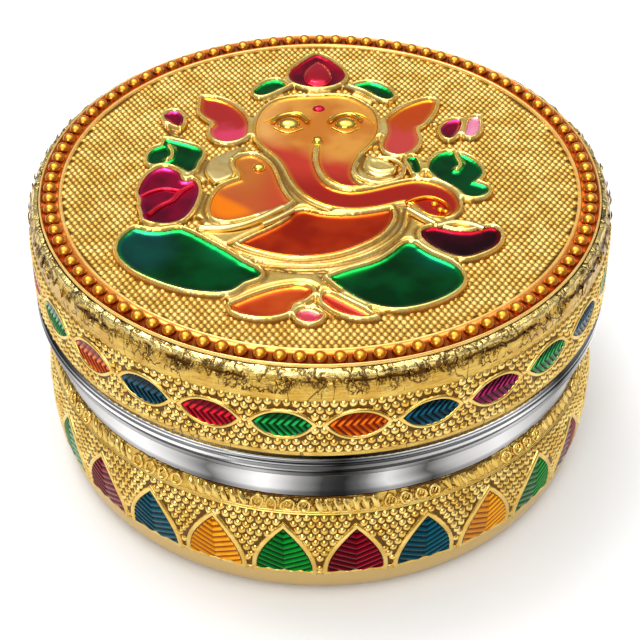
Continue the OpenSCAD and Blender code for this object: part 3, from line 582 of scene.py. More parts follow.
def makeBowl():
    s = bowlSizes
    skin = [q for q in innerLine(sleeveLine(), s["skin"]) if 0.05 < q[1] < 17.2]
    outside = [(0, 0.0), (s["baseR"], 0.0)] + skin + s["ledge"]
    outside += [(s["neckR"], 18.3), (s["neckR"], 21.3), (s["neckR"] + 0.06, 21.68)]
    outside += arc(s["neckR"], s["beadZ"], s["beadOut"], s["beadHalf"], -78, 78, 14)
    outside += [(s["neckR"], 23.7), (s["neckR"], 32.9), (s["neckR"] - 0.12, 33.12), (s["neckR"] - 0.3, 33.18)]
    hollow = [(0, s["floor"]), (33.2, s["floor"])]
    hollow += [q for q in innerLine(sleeveLine(), s["skin"] + s["wall"]) if 1.1 < q[1] < 16.2]
    hollow += [(s["neckR"] - s["wall"], 18.0), (s["neckR"] - s["wall"], 21.8)]
    hollow += arc(s["neckR"] - s["wall"], s["beadZ"], s["beadOut"] - 0.2, s["beadHalf"] - 0.25, -80, 80, 8)
    hollow += [(s["neckR"] - s["wall"], 33.0)]
    bowl = lathe(outside + hollow[::-1], 240)
    settle(smooth(bowl, 35), "steelBowl", steel, "base", "steel", "base_bowl")


panSizes = {"rimZ": 23.64, "wallR": 36.8, "wall": 0.45, "topZ": 37.78}


def makePan():
    s = panSizes
    low = s["rimZ"]
    inside = s["wallR"] - s["wall"]
    outside = [(inside, low + 0.22), (inside + 0.15, low + 0.02), (37.2, low)]
    outside += arc(37.3, low + 0.5, 0.41, 0.49, -70, 80, 10)
    outside += [(37.22, low + 1.06)] + arc(37.28, low + 1.42, 0.4, 0.34, -70, 75, 8)
    outside += [(37.1, low + 1.85), (36.95, low + 2.1), (s["wallR"], low + 2.3), (s["wallR"], 34.5)]
    outside += arc(35.4, 34.6, 1.4, 3.1, 8, 88, 8) + [(35.3, s["topZ"]), (0, s["topZ"])]
    under = [(0, s["topZ"] - s["wall"]), (34.9, s["topZ"] - s["wall"])]
    under += arc(34.95, 34.5, inside - 34.95, 2.8, 80, 0, 8)
    pan = lathe(outside + under + [(inside, low + 0.22)], 240)
    settle(smooth(pan, 35), "steelPan", steel, "lid", "steel", "lid_pan")


makeBowl()
makePan()
print("steel is turned")


# gold sheet on the base and the lid

def makeSkin(line, sheet, steps, rows):     # one fine outer face, turned in at both ends
    spots = [Vector(q) for q in line]
    reach = [0.0]
    for a, b in zip(spots, spots[1:]):
        reach.append(reach[-1] + (b - a).length)
    fine = [(float(np.interp(reach[-1] * i / rows, reach, [q.x for q in spots])),
             float(np.interp(reach[-1] * i / rows, reach, [q.y for q in spots]))) for i in range(rows + 1)]
    inner = innerLine(fine, sheet)
    return lathe([inner[0]] + fine + [inner[-1]], steps)


def crumple(obj, lowZ, highZ, strength, size, kind="CLOUDS"):     # pushes a zone of the foil in and out
    zone = obj.vertex_groups.new(name="zone")
    heights = pointsOf(obj)[:, 2]
    shares = np.clip((heights - lowZ) / 0.8, 0, 1) * np.clip((highZ - heights) / 0.4, 0, 1)
    for step in range(1, 11):
        some = np.nonzero(np.round(shares * 10) == step)[0].tolist()
        if some:
            zone.add(some, step / 10, "REPLACE")
    waver(obj, "foil", size, strength, ("NORMAL",), 0.7, kind, vertex_group="zone")
    obj.vertex_groups.clear()


foilSizes = {     # steps round and rows, then each crumpled zone: its heights, strength and size
    "sleeve": (480, 60, ((14.9, 18.5, 0.1, 1.2),)),
    "band": (900, 78, ((36.2, 38.4, 0.44, 2.0), (36.6, 38.4, 0.26, 1.5, "VORONOI"), (34.9, 38.15, 0.08, 1.1))),
}


def makeFoil(name, key, line, sheet, material, body, node):
    steps, rows, zones = foilSizes[key]
    foil = makeSkin(line, sheet, steps, rows)
    for zone in zones:
        crumple(foil, *zone)
    settle(smooth(foil, 50), name, material, body, "gold_sheet", node)


makeFoil("goldSleeve", "sleeve", sleeveLine(), sleeveSizes["sheet"], sleeveFoil, "base", "base_sleeve")
makeFoil("goldBand", "band", bandLine(), bandSizes["sheet"], bandFoil, "lid", "lid_band")
print("gold sheet is on")


# rims, grain and borders on the sides: embossed flat, then rolled round

sleeveSide = {"line": sleeveLine(), "long": math.tau * 36.9, "body": "base"}
bandSide = {"line": bandLine(), "long": math.tau * 37.35, "body": "lid"}
leafSizes = {**sleeveSide, "count": 26, "wide": 6.9, "high": 7.7, "z": 4.9, "rim": 0.74, "rise": 0.32, "ribs": 1.0,
             "slope": 0.5, "full": 2.0, "sharp": 1.2, "dim": 0.62}
marquiseSizes = {**bandSide, "count": 27, "across": 6.85, "high": 3.5, "z": 30.8, "rim": 0.58, "rise": 0.3,
                 "ribs": 0.86, "slope": 0.8, "full": 2.3, "sharp": 2.6,
                 "lit": ((-1, -0.78, -0.55, -0.1, 0.04, 0.34, 0.5, 1), (1, 0.9, 0.36, 0.3, 1, 1, 0.16, 0.12))}
drawnIn = 0.985     # the enamel's share of its cell
ribSizes = {"under": 0.03, "high": 0.2, "round": 0.75, "bright": 1.25, "dark": 0.14}


def leafHalf(t):     # half the width of a leaf at a share of its height
    return leafSizes["wide"] / 2 * (1 - t ** leafSizes["full"])


def marquiseHalf(e):     # half the height of a marquise at a share of its half length
    return marquiseSizes["high"] / 2 * (1 - abs(e) ** marquiseSizes["full"])


def leafOutline(steps=14):
    right = [(leafHalf(i / steps), leafSizes["high"] * i / steps) for i in range(steps + 1)]
    return right + [(-x, z) for x, z in right[-2::-1]]


def marquiseOutline(steps=18):
    top = [(marquiseSizes["across"] / 2 * (1 - 2 * i / steps), marquiseHalf(1 - 2 * i / steps))
           for i in range(steps + 1)]
    return top + [(-x, -z) for x, z in top[1:-1]]


def openFace(points, outwards):     # one flat face through the points, opened for editing
    obj = add(bpy.ops.mesh.primitive_circle_add, vertices=len(points), radius=mm, fill_type="NGON")
    setPoints(obj, points)
    openUp(obj)
    shape = bmesh.from_edit_mesh(obj.data)
    if shape.faces[:][0].normal.dot(Vector(outwards)) < 0:
        bpy.ops.mesh.flip_normals()
    return obj


def makeRidge(outline, width, rise, low):     # a raised rim round an outline, flat on top, at y = 0
    obj = openFace([(x, 0, z + low) for x, z in offsetLine(outline, width)], (0, -1, 0))
    for share, lift in ((0.08, 0.5), (0.12, 0.32), (0.16, 0.18), (0.28, 0.0), (0.16, -0.18), (0.12, -0.32),
                        (0.08, -0.5)):
        bpy.ops.mesh.inset(thickness=width * share * mm, depth=rise * lift * mm)
    bpy.ops.mesh.delete(type="FACE")
    closeUp()
    return obj


def makeRims(name, sizes):
    step = sizes["long"] / sizes["count"]
    rim = makeRidge([(x + step / 2, z) for x, z in sizes["outline"]], sizes["rim"], sizes["rise"], sizes["z"])
    repeat(rim, sizes["count"], (step * mm, 0, 0))
    rollRound(rim, sizes)
    settle(smooth(rim), name, gold["rim"], sizes["body"])


leafSizes["outline"], marquiseSizes["outline"] = leafOutline(), marquiseOutline()
makeRims("leafRims", leafSizes)
makeRims("marquiseRims", marquiseSizes)

leafSizes["order"] = {k: ("green", "red", "teal", "amber")[(k + 1) % 4] for k in range(-13, 13)}
marquiseSizes["order"] = dict(enumerate(
    "orange teal purple green teal green orange teal red green orange teal purple green orange teal red green orange "
    "teal purple red green orange teal red green".split()))


def makeRibbed(sizes, across, down, place, rib):     # one enamel with chevron ribs, flat at y = 0
    obj = add(bpy.ops.mesh.primitive_grid_add, x_subdivisions=across, y_subdivisions=down, size=2 * mm)
    r, spots, shades = ribSizes, [], []
    for u, v, _ in pointsOf(obj):
        x, z = place(u, v)
        phase, lit = rib(x, z)
        crest = abs(math.sin(math.pi * phase / sizes["ribs"]))
        spots.append((x, -r["under"] - r["high"] * crest ** r["round"], z))
        # painted light: crests lighter, grooves darker, times the share lit on this side or at this height
        shades.append(max(0.0, min(1.0, crest ** sizes["sharp"] * r["bright"] - r["dark"])) * lit)
    setPoints(obj, spots)
    obj.data.attributes.new("rib", "FLOAT", "POINT").data.foreach_set("value", shades)
    return obj


def makeLeaf():
    s = leafSizes
    return makeRibbed(s, 50, 60, lambda u, v: (u * leafHalf((v + 1) / 2 * drawnIn), (v + 1) / 2 * drawnIn * s["high"]),
                      # painted shade: the left half of each leaf gets the darker share
                      lambda x, z: (z - s["slope"] * abs(x), 1.0 if x > 0 else s["dim"]))


def makeMarquise():
    s = marquiseSizes
    return makeRibbed(s, 64, 32, lambda u, v: (u * drawnIn * s["across"] / 2, v * marquiseHalf(u * drawnIn)),
                      lambda x, z: (x - s["slope"] * abs(z), np.interp(2 * z / s["high"], *s["lit"])))


def makeSideEnamels(name, node, sizes, makeOne, **paints):     # one piece for each colour
    for colour, paint in paints.items():
        parts = []
        for k in [k for k, chosen in sizes["order"].items() if chosen == colour]:
            one = makeOne()
            setPoints(one, pointsOf(one) + [(k + 0.5) * sizes["long"] / sizes["count"], 0, sizes["z"]])
            parts.append(one)
        whole = joined(parts)
        rollRound(whole, sizes)
        settle(smooth(whole), name + colour.title(), enamel[paint], sizes["body"], colour + "_enamel",
               node + "_" + colour)


makeSideEnamels("leaves", "base_leaves", leafSizes, makeLeaf, green="leafGreen", red="crimson", teal="leafTeal",
                amber="amber")
makeSideEnamels("marquises", "marquises", marquiseSizes, makeMarquise, green="emerald", orange="orange", teal="teal",
                red="ruby", purple="plum")
print("leaves are filled")


def makeBump(wide, rise, sides=6):     # a low pearl, open below, with its foot at z = 0
    bump = add(bpy.ops.mesh.primitive_circle_add, vertices=sides, radius=wide / 2 * mm, fill_type="NGON")
    openUp(bump)
    for inward, upward in ((0.1, 0.46), (0.15, 0.38), (0.2, 0.16)):
        bpy.ops.mesh.inset(thickness=wide * inward * mm, depth=rise * upward * mm)
    bpy.ops.mesh.merge(type="CENTER")
    closeUp()
    return bump


def keepOnly(obj, each, wanted):     # wanted says which copies stay, each being the points of one copy
    openUp(obj, "DESELECT")
    shape = bmesh.from_edit_mesh(obj.data)
    for v in shape.verts:
        v.select = not wanted[v.index // each]
    shape.select_flush(True)
    bpy.ops.mesh.delete(type="VERT")
    closeUp()


def nearOutline(x, z, outline, margin):     # True inside the outline or closer to it than the margin
    wider = offsetLine(outline, margin)
    inside = False
    for (ax, az), (bx, bz) in zip(wider, wider[1:] + wider[:1]):
        if (az > z) != (bz > z) and x < (bx - ax) * (z - az) / (bz - az) + ax:
            inside = not inside
    return inside


grainSizes = {"row": 1.0, "wide": 1.06, "rise": 0.34, "round": 216, "clear": 0.04}


def makeSideGrain(name, lowZ, rows, sizes):
    g = grainSizes
    pitch, step = sizes["long"] / g["round"], sizes["long"] / sizes["count"]
    bump = makeBump(g["wide"], g["rise"])
    each = len(bump.data.vertices)
    along, across, up = pointsOf(bump).T
    setPoints(bump, np.stack([along, -up, across + lowZ], 1))
    repeat(bump, 2, (pitch / 2 * mm, 0, g["row"] * mm))
    repeat(bump, g["round"], (pitch * mm, 0, 0))
    repeat(bump, rows, (0, 0, g["row"] * 2 * mm))
    middles = pointsOf(bump).reshape(-1, each, 3).mean(1)
    keepOnly(bump, each, [not nearOutline((x % step) - step / 2, z - sizes["z"], sizes["outline"],
                                          sizes["rim"] + g["clear"]) for x, _, z in middles])
    waver(bump, "uneven", 1.7, 0.5, "Z")
    waver(bump, "uneven", 1.7, 0.14, "Y")
    rollRound(bump, sizes)
    settle(smooth(bump, 75), name, gold["pearl"], sizes["body"])


makeSideGrain("sleeveGrain", 5.4, 5, leafSizes)
makeSideGrain("bandGrain", 26.95, 4, marquiseSizes)


def flatBump(wide, high, turn, x, z, rise):     # a long low bump on the side, at y = 0
    bump = makeBump(1.0, rise, 10)
    along, across, up = (pointsOf(bump) * [wide, high, 1]).T
    c, s = math.cos(turn), math.sin(turn)
    setPoints(bump, np.stack([along * c - across * s + x, -up, along * s + across * c + z], 1))
    return bump


borderSizes = {"units": 14, "z": 16.35, "rise": 0.26}


def makeSleeveBorder():     # slanted strokes, then hatched ovals, repeated round the top of the sleeve
    s = borderSizes
    parts = [flatBump(0.72, 2.1, math.radians(24), 1.15 * i, s["z"], s["rise"]) for i in range(7)]
    for i in range(4):
        x = 8.7 + 1.95 * i
        oval = [(x + 0.5 * math.cos(-a / 8 * math.pi), 0.58 * math.sin(-a / 8 * math.pi)) for a in range(16)]
        parts.append(makeRidge(oval[::-1], 0.36, s["rise"], s["z"]))
        parts += [flatBump(0.2, 0.8, math.radians(-30), x + d, s["z"], 0.14) for d in (-0.22, 0.2)]
    whole = joined(parts)
    repeat(whole, s["units"], (sleeveSide["long"] / s["units"] * mm, 0, 0))
    waver(whole, "wavering", 2.2, 0.7, "XZ")
    rollRound(whole, sleeveSide)
    settle(smooth(whole), "sleeveBorder", gold["rim"], "base")


lineSizes = {"creases": (15.05, 15.38), "dashes": 130, "dash": (1.4, 0.34), "ledge": 4.62, "rise": 0.2}


def makeSleeveLines():     # a double line at the crease, and the dashed ledge that the leaves stand on
    s = lineSizes
    rings = []
    for z in s["creases"]:
        r = float(radiusOn(sleeveSide["line"], z))
        rings.append(lathe(arc(r - 0.08, z, 0.19, 0.13, -100, 100, 6), 240, True))
    dash = flatBump(*s["dash"], 0.0, 0.0, s["ledge"], s["rise"])
    repeat(dash, s["dashes"], (sleeveSide["long"] / s["dashes"] * mm, 0, 0))
    rollRound(dash, sleeveSide)
    whole = joined(rings + [dash])
    settle(smooth(whole), "sleeveLines", gold["rim"], "base")


foldSizes = {"count": 110, "seed": 7, "topZ": 37.4, "rise": 0.2}


def makeBandFolds():     # thin raised folds that run down from the shoulder
    s = foldSizes
    random = np.random.default_rng(s["seed"])
    parts = []
    for i in range(s["count"]):
        x = bandSide["long"] * (i + random.uniform(-0.4, 0.4)) / s["count"]
        high = random.uniform(0.7, 2.4)
        parts.append(flatBump(random.uniform(0.16, 0.4), high, random.uniform(-0.6, 0.6), x,
                              s["topZ"] - high / 2 + random.uniform(-0.2, 0.5), s["rise"]))
    whole = joined(parts)
    waver(whole, "bending", 1.4, 1.4, "X")
    rollRound(whole, bandSide)
    settle(smooth(whole), "bandFolds", bandFoil)


makeSleeveBorder()
makeSleeveLines()
makeBandFolds()
print("sides are embossed")


# gold plate on top: sheet, lips and grain

plateSizes = {"sheet": 0.4, "inLip": 0.55, "outLip": 0.34, "lipHigh": 0.38}


def makePlate():
    s = plateSizes
    rim = ringOut + 0.28
    plate = lathe([(0, fieldZ - s["sheet"]), (rim, fieldZ - s["sheet"]), (rim, fieldZ), (0, fieldZ)], 300)
    # the plate's dark gold is painted shade, seen between the pearls of the grain
    settle(smooth(plate, 50), "goldPlate", gold["ground"], "lid", "gold_sheet", "lid_plate")


def makeLips():     # smooth rounded lips on both sides of the ring
    s = plateSizes
    lips = []
    for low, wide in ((ringIn - s["inLip"], s["inLip"]), (ringOut, s["outLip"])):
        line = arc(low + wide / 2, fieldZ - 0.05, wide / 2, s["lipHigh"] + 0.05, 180, 0, 10)
        lips.append(lathe(line, 300, True))
    whole = joined(lips)
    settle(smooth(whole), "ringLips", gold["lip"])


makeLips()
makePlate()

fills = [row.split() for row in """
    crown_jewel pool cherry magenta_enamel
    crown_gem gem gem red_enamel
    crown_leaf_left small green green_enamel
    crown_leaf_right small green green_enamel
    head_and_trunk head head amber_enamel
    ear_left pool earLeft magenta_enamel
    ear_right pool earRight salmon_enamel
    arm head arm orange_enamel
    belly head rust orange_enamel
    bud_left small magenta purple_enamel
    bud_right small magenta purple_enamel
    bud_tip small lilac salmon_enamel
    upper_leaf_left small green green_enamel
    upper_leaf_right small green green_enamel
    slim_leaf small green green_enamel
    lotus_left pool magenta magenta_enamel
    lotus_right pool wine red_enamel
    seat_leaf_left pool seatLeft green_enamel
    seat_leaf_right pool seatRight green_enamel
    petal_left pool honey salmon_enamel
    petal_centre small pink salmon_enamel
    petal_right small salmon red_enamel
    """.split("\n")[1:-1]]     # node, kind of fill, paint and slot
figureNodes = [fill[0] for fill in fills] + ["eyes", "tilak"]
plateReach = ringIn - plateSizes["inLip"] - 0.1     # the field inside the lips


def rasterOf(nodes, step=0.2, reach=30.2):     # which spots of a grid on the plate lie under the figure
    shape = bmesh.new()
    for node in nodes:
        shape.from_mesh(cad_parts[node].data)
    tree = BVHTree.FromBMesh(shape)
    places = np.arange(-reach, reach + step, step)
    under = np.zeros((len(places), len(places)), bool)
    for i, x in enumerate(places):
        for j, y in enumerate(places):
            if math.hypot(x, y) < plateReach:
                hit = tree.ray_cast(Vector((x * mm, y * mm, 0.06)), Vector((0, 0, -1)))[0]
                under[i, j] = hit is not None and hit.z > (fieldZ + 0.1) * mm
    return places, under


def treeOf(spots):     # for the nearest of many spots, in mm
    tree = KDTree(len(spots))
    for i, (x, y) in enumerate(spots):
        tree.insert((x, y, 0), i)
    tree.balance()
    return tree


def near(spots, places, reach):     # True for every place closer to a spot than the reach
    tree = treeOf(spots)
    return np.array([tree.find((x, y, 0))[2] < reach for x, y in places])


wallSizes = {     # grid, how far walls reach, rounding of fine and bold walls, and heights over the plate
    "grid": 0.15, "reach": 30, "inward": 0.2, "fine": 0.4, "bold": 0.85, "high": 1.0, "saddle": 0.12, "foot": 0.1,
    "gap": 0.6, "pad": 0.62, "slack": 0.06, "smooth": (-1.0, -8.5, 14.5),     # no grain this far round a place
}
boldCells = ("head_and_trunk", "belly")

places, underFigure = rasterOf(figureNodes + ["lid_plate"])
spread = np.stack(np.meshgrid(places, places, indexing="ij"), -1)
field, struck = spread[~underFigure], spread[underFigure]
clear = field[~near(struck, field, wallSizes["gap"])]
clear = clear[np.hypot(*(clear - wallSizes["smooth"][:2]).T) > wallSizes["smooth"][2]]
far = field[near(clear, field, wallSizes["gap"] + wallSizes["slack"])]     # without the places between close walls
print("gaps are found", len(field) - len(far))

fieldSizes = {"pitch": 0.88, "row": 0.7, "wide": 0.96, "rise": 0.24}


def makeFieldGrain():
    s = fieldSizes
    bump = makeBump(s["wide"], s["rise"])
    each = len(bump.data.vertices)
    count, rows = int(2 * ringIn / s["pitch"]) + 2, int(ringIn / s["row"]) + 2
    repeat(bump, 2, (s["pitch"] / 2 * mm, s["row"] * mm, 0))
    repeat(bump, count, (s["pitch"] * mm, 0, 0))
    repeat(bump, rows, (0, 2 * s["row"] * mm, 0))
    co = pointsOf(bump) - [(count - 1) * s["pitch"] / 2, (rows - 1) * s["row"], 0.02 - fieldZ]
    setPoints(bump, co)
    middles = co.reshape(-1, each, 3).mean(1)[:, :2]
    covered = ~near(far, middles, 0.5) & (np.abs(middles).max(1) < places[-1] - 0.5)
    keepOnly(bump, each, (np.hypot(*middles.T) < plateReach - 0.02) & ~covered)
    waver(bump, "wander", 3.2, 0.3, "XY")
    settle(smooth(bump, 75), "fieldGrain", gold["grain"])


makeFieldGrain()
print("plate is grained")


# ring of beads

beadSizes = {"count": 96, "across": 1.84, "middle": (ringIn + ringOut) / 2}


def makeRing():
    half = (ringOut - ringIn) / 2 - 0.02
    right = [(half, 0.02), (half, 0.3), (half - 0.22, 0.18), (0.4, 0.14)]
    line = right + [(-x, z) for x, z in right[::-1]]
    ring = lathe([(beadSizes["middle"] + x, fieldZ + z) for x, z in line], 240, True)
    settle(smooth(ring), "ringEnamel", enamel["ring"], "lid", "orange_enamel", "ring_enamel")


def beadPaint():
    paint = Paint("amberGoldPaintedShade", metallic=0.9, roughness=0.26, coatWeight=0.2, coatRoughness=0.05)
    # painted shade and highlight: each bead darker below and lighter on top
    z = paint.between(paint.axis("Z"), fieldZ + 0.2, fieldZ + 0.85)
    paint.give("baseColor", paint.mix(z, tint(128, 54, 6), tint(244, 156, 44)))
    return paint.material


def makeBeads():
    bead = add(bpy.ops.mesh.primitive_uv_sphere_add, segments=18, ring_count=12, radius=beadSizes["across"] / 2 * mm)
    openUp(bead)
    bpy.ops.mesh.bisect(plane_co=(0, 0, -0.1 * mm), plane_no=(0, 0, 1), clear_inner=True, threshold=1e-7)
    bpy.ops.mesh.select_all(action="SELECT")
    bpy.ops.transform.translate(value=(beadSizes["middle"] * mm, 0, (fieldZ + 0.12) * mm))
    closeUp()
    turn = placed("turn", None, turn=(0, 0, math.tau / beadSizes["count"]))
    bpy.context.view_layer.update()
    modifier(bead, "ARRAY", count=beadSizes["count"], use_relative_offset=False, use_object_offset=True,
             offset_object=turn)
    bpy.data.objects.remove(turn)
    settle(smooth(bead), "beadRow", beadPaint(), "lid", "bead_gold", "bead_row")


makeRing()
makeBeads()
print("beads are set")


# struck walls and enamel fills of the figure

def edgeSpots(obj, z, apart=0.06):     # points along the outline that obj has at height z, in mm
    shape = bmesh.new()
    shape.from_mesh(obj.data)
    bmesh.ops.remove_doubles(shape, verts=shape.verts, dist=0.0005 * mm)
    spots = []
    for e in shape.edges:
        a, b = (v.co for v in e.verts)
        if abs(a.z - z * mm) < 0.004 * mm and abs(b.z - z * mm) < 0.004 * mm and len(e.link_faces) == 2:
            flat = [abs(f.normal.z) > 0.9 for f in e.link_faces]
            if flat[0] != flat[1]:
                count = max(1, int((b - a).length / (apart * mm)))
                spots += [tuple((a.lerp(b, i / count) / mm).xy) for i in range(count)]
    return spots


def wallPaint():     # painted shade: dark where the gold lies low beside a wall
    paint = Paint("struckGold", metallic=0.82, roughness=0.24)
    up = paint.between(paint.axis("Z"), fieldZ + 0.3, fieldZ + 0.72)
    fine = paint.mix(paint.clouds(3.0), tint(242, 202, 104), tint(255, 228, 142))
    paint.give("baseColor", paint.mix(up, tint(156, 108, 36), fine))
    paint.bump(paint.noise(1.2), 0.04)
    return paint.material


def evenOut(heights, times):
    for _ in range(times):
        heights[1:-1] = (heights[:-2] + 2 * heights[1:-1] + heights[2:]) / 4
        heights[:, 1:-1] = (heights[:, :-2] + 2 * heights[:, 1:-1] + heights[:, 2:]) / 4


def makeWalls():     # gold relief on a fine grid: rounded walls round every cell, low gold between close walls
    s = wallSizes
    cells = [fill[0] for fill in fills if fill[0] != "crown_gem"]
    spots, rounding = [], []
    for node in cells:
        cell = edgeSpots(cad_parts[node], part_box(node)[0].z / mm)
        spots += cell
        rounding += [s["bold" if node in boldCells else "fine"]] * len(cell)
    inner = treeOf(spots)
    outer = treeOf([q for q in edgeSpots(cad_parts["lid_plate"], fieldZ)
                    if inner.find((*q, 0))[2] > 0.3 and math.hypot(*q) < ringIn - 0.8])
    bare = treeOf(far)
    grid, inFill = rasterOf(cells, s["grid"], s["reach"])
    onWall = rasterOf(["lid_plate"], s["grid"], s["reach"])[1]
    walls = add(bpy.ops.mesh.primitive_grid_add, x_subdivisions=len(grid) - 1, y_subdivisions=len(grid) - 1,
                size=(grid[-1] - grid[0]) * mm)
    pads = np.array([[bare.find((x, y, 0))[2] for y in grid] for x in grid])
    pads = s["pad"] * np.clip((pads - 0.25) / 0.35, -1, 1)
    evenOut(pads, 4)     # hides the steps of the coarser grid
    heights = np.zeros_like(pads)
    for i, j in np.ndindex(pads.shape):
        x, y = grid[i], grid[j]
        _, nearest, inside = inner.find((x, y, 0))
        outside = outer.find((x, y, 0))[2]
        if inFill[i, j]:
            deep = -inside
        elif onWall[i, j]:
            deep = min(inside, outside - s["inward"])
        else:
            deep = -min(outside + s["inward"], 0.2)
        soft = rounding[nearest]
        high = s["foot"] + (s["high"] - s["foot"]) * math.sqrt(1 - (1 - min(1, max(0, deep) / soft)) ** 2)
        high += max(-0.25, min(0, deep * 3)) - s["saddle"] * min(1, max(0, (deep - soft) / 0.3))
        beside = min(1, max(0, (0.2 - outside if onWall[i, j] else 0.2 + outside) * 2))     # low beside a wall
        heights[i, j] = high if inFill[i, j] else max(high, pads[i, j] * (0.4 + 0.6 * beside))
    evenOut(heights, 1)
    co = pointsOf(walls)
    spots = np.rint((co[:, :2] - grid[0]) / s["grid"]).astype(int)
    co[:, 2] = fieldZ + heights[spots[:, 0], spots[:, 1]]
    setPoints(walls, co)
    openUp(walls, "DESELECT")
    shape = bmesh.from_edit_mesh(walls.data)
    for face in shape.faces:     # what lies under the field goes
        face.select = max(v.co.z for v in face.verts) < (fieldZ - 0.02) * mm
    bpy.ops.mesh.delete(type="FACE")
    closeUp()
    settle(smooth(walls, 80), "figureWalls", wallPaint())


makeWalls()

fillSizes = {     # height in the middle and at the edge, how wide the edge's rise and the dome are, and the grid
    "pool": {"middle": 0.3, "edge": 0.6, "rim": 0.5, "dome": 0.1, "reach": 2.0, "grid": 0.16},
    "small": {"middle": 0.32, "edge": 0.6, "rim": 0.3, "dome": 0.0, "reach": 1.6, "grid": 0.12},
    "head": {"middle": 0.32, "edge": 0.6, "rim": 0.45, "dome": 0.12, "reach": 2.2, "grid": 0.18},
    "gem": {"middle": 0.66, "edge": 0.5, "rim": 0.25, "dome": 0.4, "reach": 0.8, "grid": 0.12},
}
intoWall = 0.09     # how far a fill reaches into its walls


def makeFill(node, name, kind, material, slot):
    s = fillSizes[kind]
    fill = placed(name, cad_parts[node].data.copy())
    tidy(fill, turn=False)
    low, high = (corner.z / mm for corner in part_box(node))
    tree = treeOf(edgeSpots(fill, low))
    modifier(fill, "REMESH", mode="VOXEL", voxel_size=s["grid"] * mm)
    modifier(fill, "SMOOTH", factor=0.5, iterations=3)
    modifier(fill, "DISPLACE", strength=intoWall * mm, mid_level=0.0)

    def meniscus(distance):
        return s["middle"] + (s["edge"] - s["middle"]) * math.exp(-(distance / s["rim"]) ** 1.3) \
            + s["dome"] * (1 - math.exp(-distance / s["reach"]))

    co = pointsOf(fill)
    for point in co:     # heights above the field follow the distance to the edge
        up = (point[2] - fieldZ) / (high - fieldZ)
        if up > 0.1:
            point[2] = fieldZ + meniscus(tree.find((*point[:2], 0))[2]) * min(1.0, up)
    setPoints(fill, co)
    settle(smooth(fill), name, material, "lid", slot, node)


for node, kind, colour, slot in fills:
    first, *others = node.split("_")
    makeFill(node, first + "".join(word.title() for word in others), kind, enamel[colour], slot)
print("figure is filled")


# small gold and enamel work on the figure

def makeTube(points, radius, z):     # a rod through points given in shares of the figure
    rod = add(bpy.ops.curve.primitive_bezier_curve_add)
    rod.data.splines.clear()
    line = rod.data.splines.new("BEZIER")
    line.bezier_points.add(len(points) - 1)
    for knot, (x, y) in zip(line.bezier_points, points):
        knot.co = Vector((*onFigure(x, y), z)) * mm
        knot.handle_left_type = knot.handle_right_type = "AUTO"
    rod.data.bevel_depth, rod.data.bevel_resolution, rod.data.resolution_u = radius * mm, 3, 6
    rod.data.use_fill_caps = True
    bpy.ops.object.convert(target="MESH")
    return smooth(bpy.context.object, 50)


def makeDome(x, y, wide, deep, high, z):     # a low dome, x and y in shares
    dome = add(bpy.ops.mesh.primitive_uv_sphere_add, segments=32, ring_count=18, radius=mm)
    setPoints(dome, pointsOf(dome) * [wide / 2, deep / 2, high] + [*onFigure(x, y), z])
    return smooth(dome)


def mount(name, material, slot, parts, *nodes):     # one piece of small parts
    settle(joined(parts), name, material, "lid", slot, *nodes)


headZ = fieldZ + 0.4
eyeParts = []
for middle, upper, lower in (
        (-0.118, ((-0.182, 0.362), (-0.147, 0.408), (-0.087, 0.418), (-0.044, 0.366)),
         ((-0.172, 0.336), (-0.12, 0.304), (-0.066, 0.332))),
        (0.098, ((0.032, 0.366), (0.072, 0.41), (0.122, 0.418), (0.158, 0.376)),
         ((0.047, 0.336), (0.097, 0.304), (0.147, 0.334)))):
    eyeParts += [makeDome(middle, 0.362, 3.1, 2.5, 0.92, headZ - 0.1), makeTube(upper, 0.33, headZ + 0.32),
                 makeTube(lower, 0.16, headZ + 0.06)]
mount("goldEyes", gold["polished"], "gold_sheet", eyeParts, "eyes")
mount("goldDots", gold["polished"], "gold_sheet", [
    makeDome(-0.009, 0.25, 1.5, 1.5, 0.62, headZ), makeDome(-0.222, 0.076, 1.8, 1.6, 0.62, headZ)])
settle(makeDome(-0.005, 0.47, 1.7, 1.5, 0.42, headZ), "foreheadMark", enamel["gem"], "lid", "red_enamel", "tilak")
mount("brows", enamel["head"], "amber_enamel", [
    makeTube(((-0.212, 0.378), (-0.156, 0.425), (-0.088, 0.446), (-0.034, 0.392)), 0.2, headZ - 0.04),
    makeTube(((0.034, 0.405), (0.088, 0.443), (0.152, 0.43), (0.208, 0.368)), 0.2, headZ - 0.04)])
mount("goldRods", gold["smooth"], "gold_sheet", [
    makeTube(((-0.4, -0.3), (-0.31, -0.295), (-0.22, -0.252), (-0.13, -0.18)), 0.5, fieldZ + 0.74),
    makeTube(((-0.2, -0.283), (-0.15, -0.247), (-0.094, -0.198)), 0.4, fieldZ + 0.84),
    makeTube(((0.31, -0.19), (0.355, -0.235), (0.4, -0.275)), 0.5, fieldZ + 0.7),
    makeTube(((0.405, -0.285), (0.46, -0.265), (0.51, -0.27), (0.565, -0.3)), 0.46, fieldZ + 0.66)])
mount("trunkCurl", enamel["rust"], "amber_enamel", [
    makeTube(((0.3, -0.145), (0.34, -0.118), (0.385, -0.108), (0.425, -0.125), (0.452, -0.16), (0.455, -0.2),
              (0.435, -0.222)), 0.34, fieldZ + 0.5)])
mount("trunkKnobs", enamel["knob"], "amber_enamel", [
    makeDome(x, y, wide, wide, high, fieldZ + 0.5)
    for x, y, wide, high in ((0.404, -0.148, 0.9, 0.36), (0.423, -0.182, 0.9, 0.36), (0.441, -0.192, 0.7, 0.3))])
mount("lotusRidges", enamel["gem"], "magenta_enamel", [
    makeTube(((-0.64, -0.105), (-0.6, -0.07), (-0.555, -0.055), (-0.5, -0.066)), 0.28, fieldZ + 0.42),
    makeTube(((-0.455, -0.03), (-0.495, -0.07), (-0.525, -0.125), (-0.565, -0.16), (-0.6, -0.21)), 0.36,
             fieldZ + 0.44)])


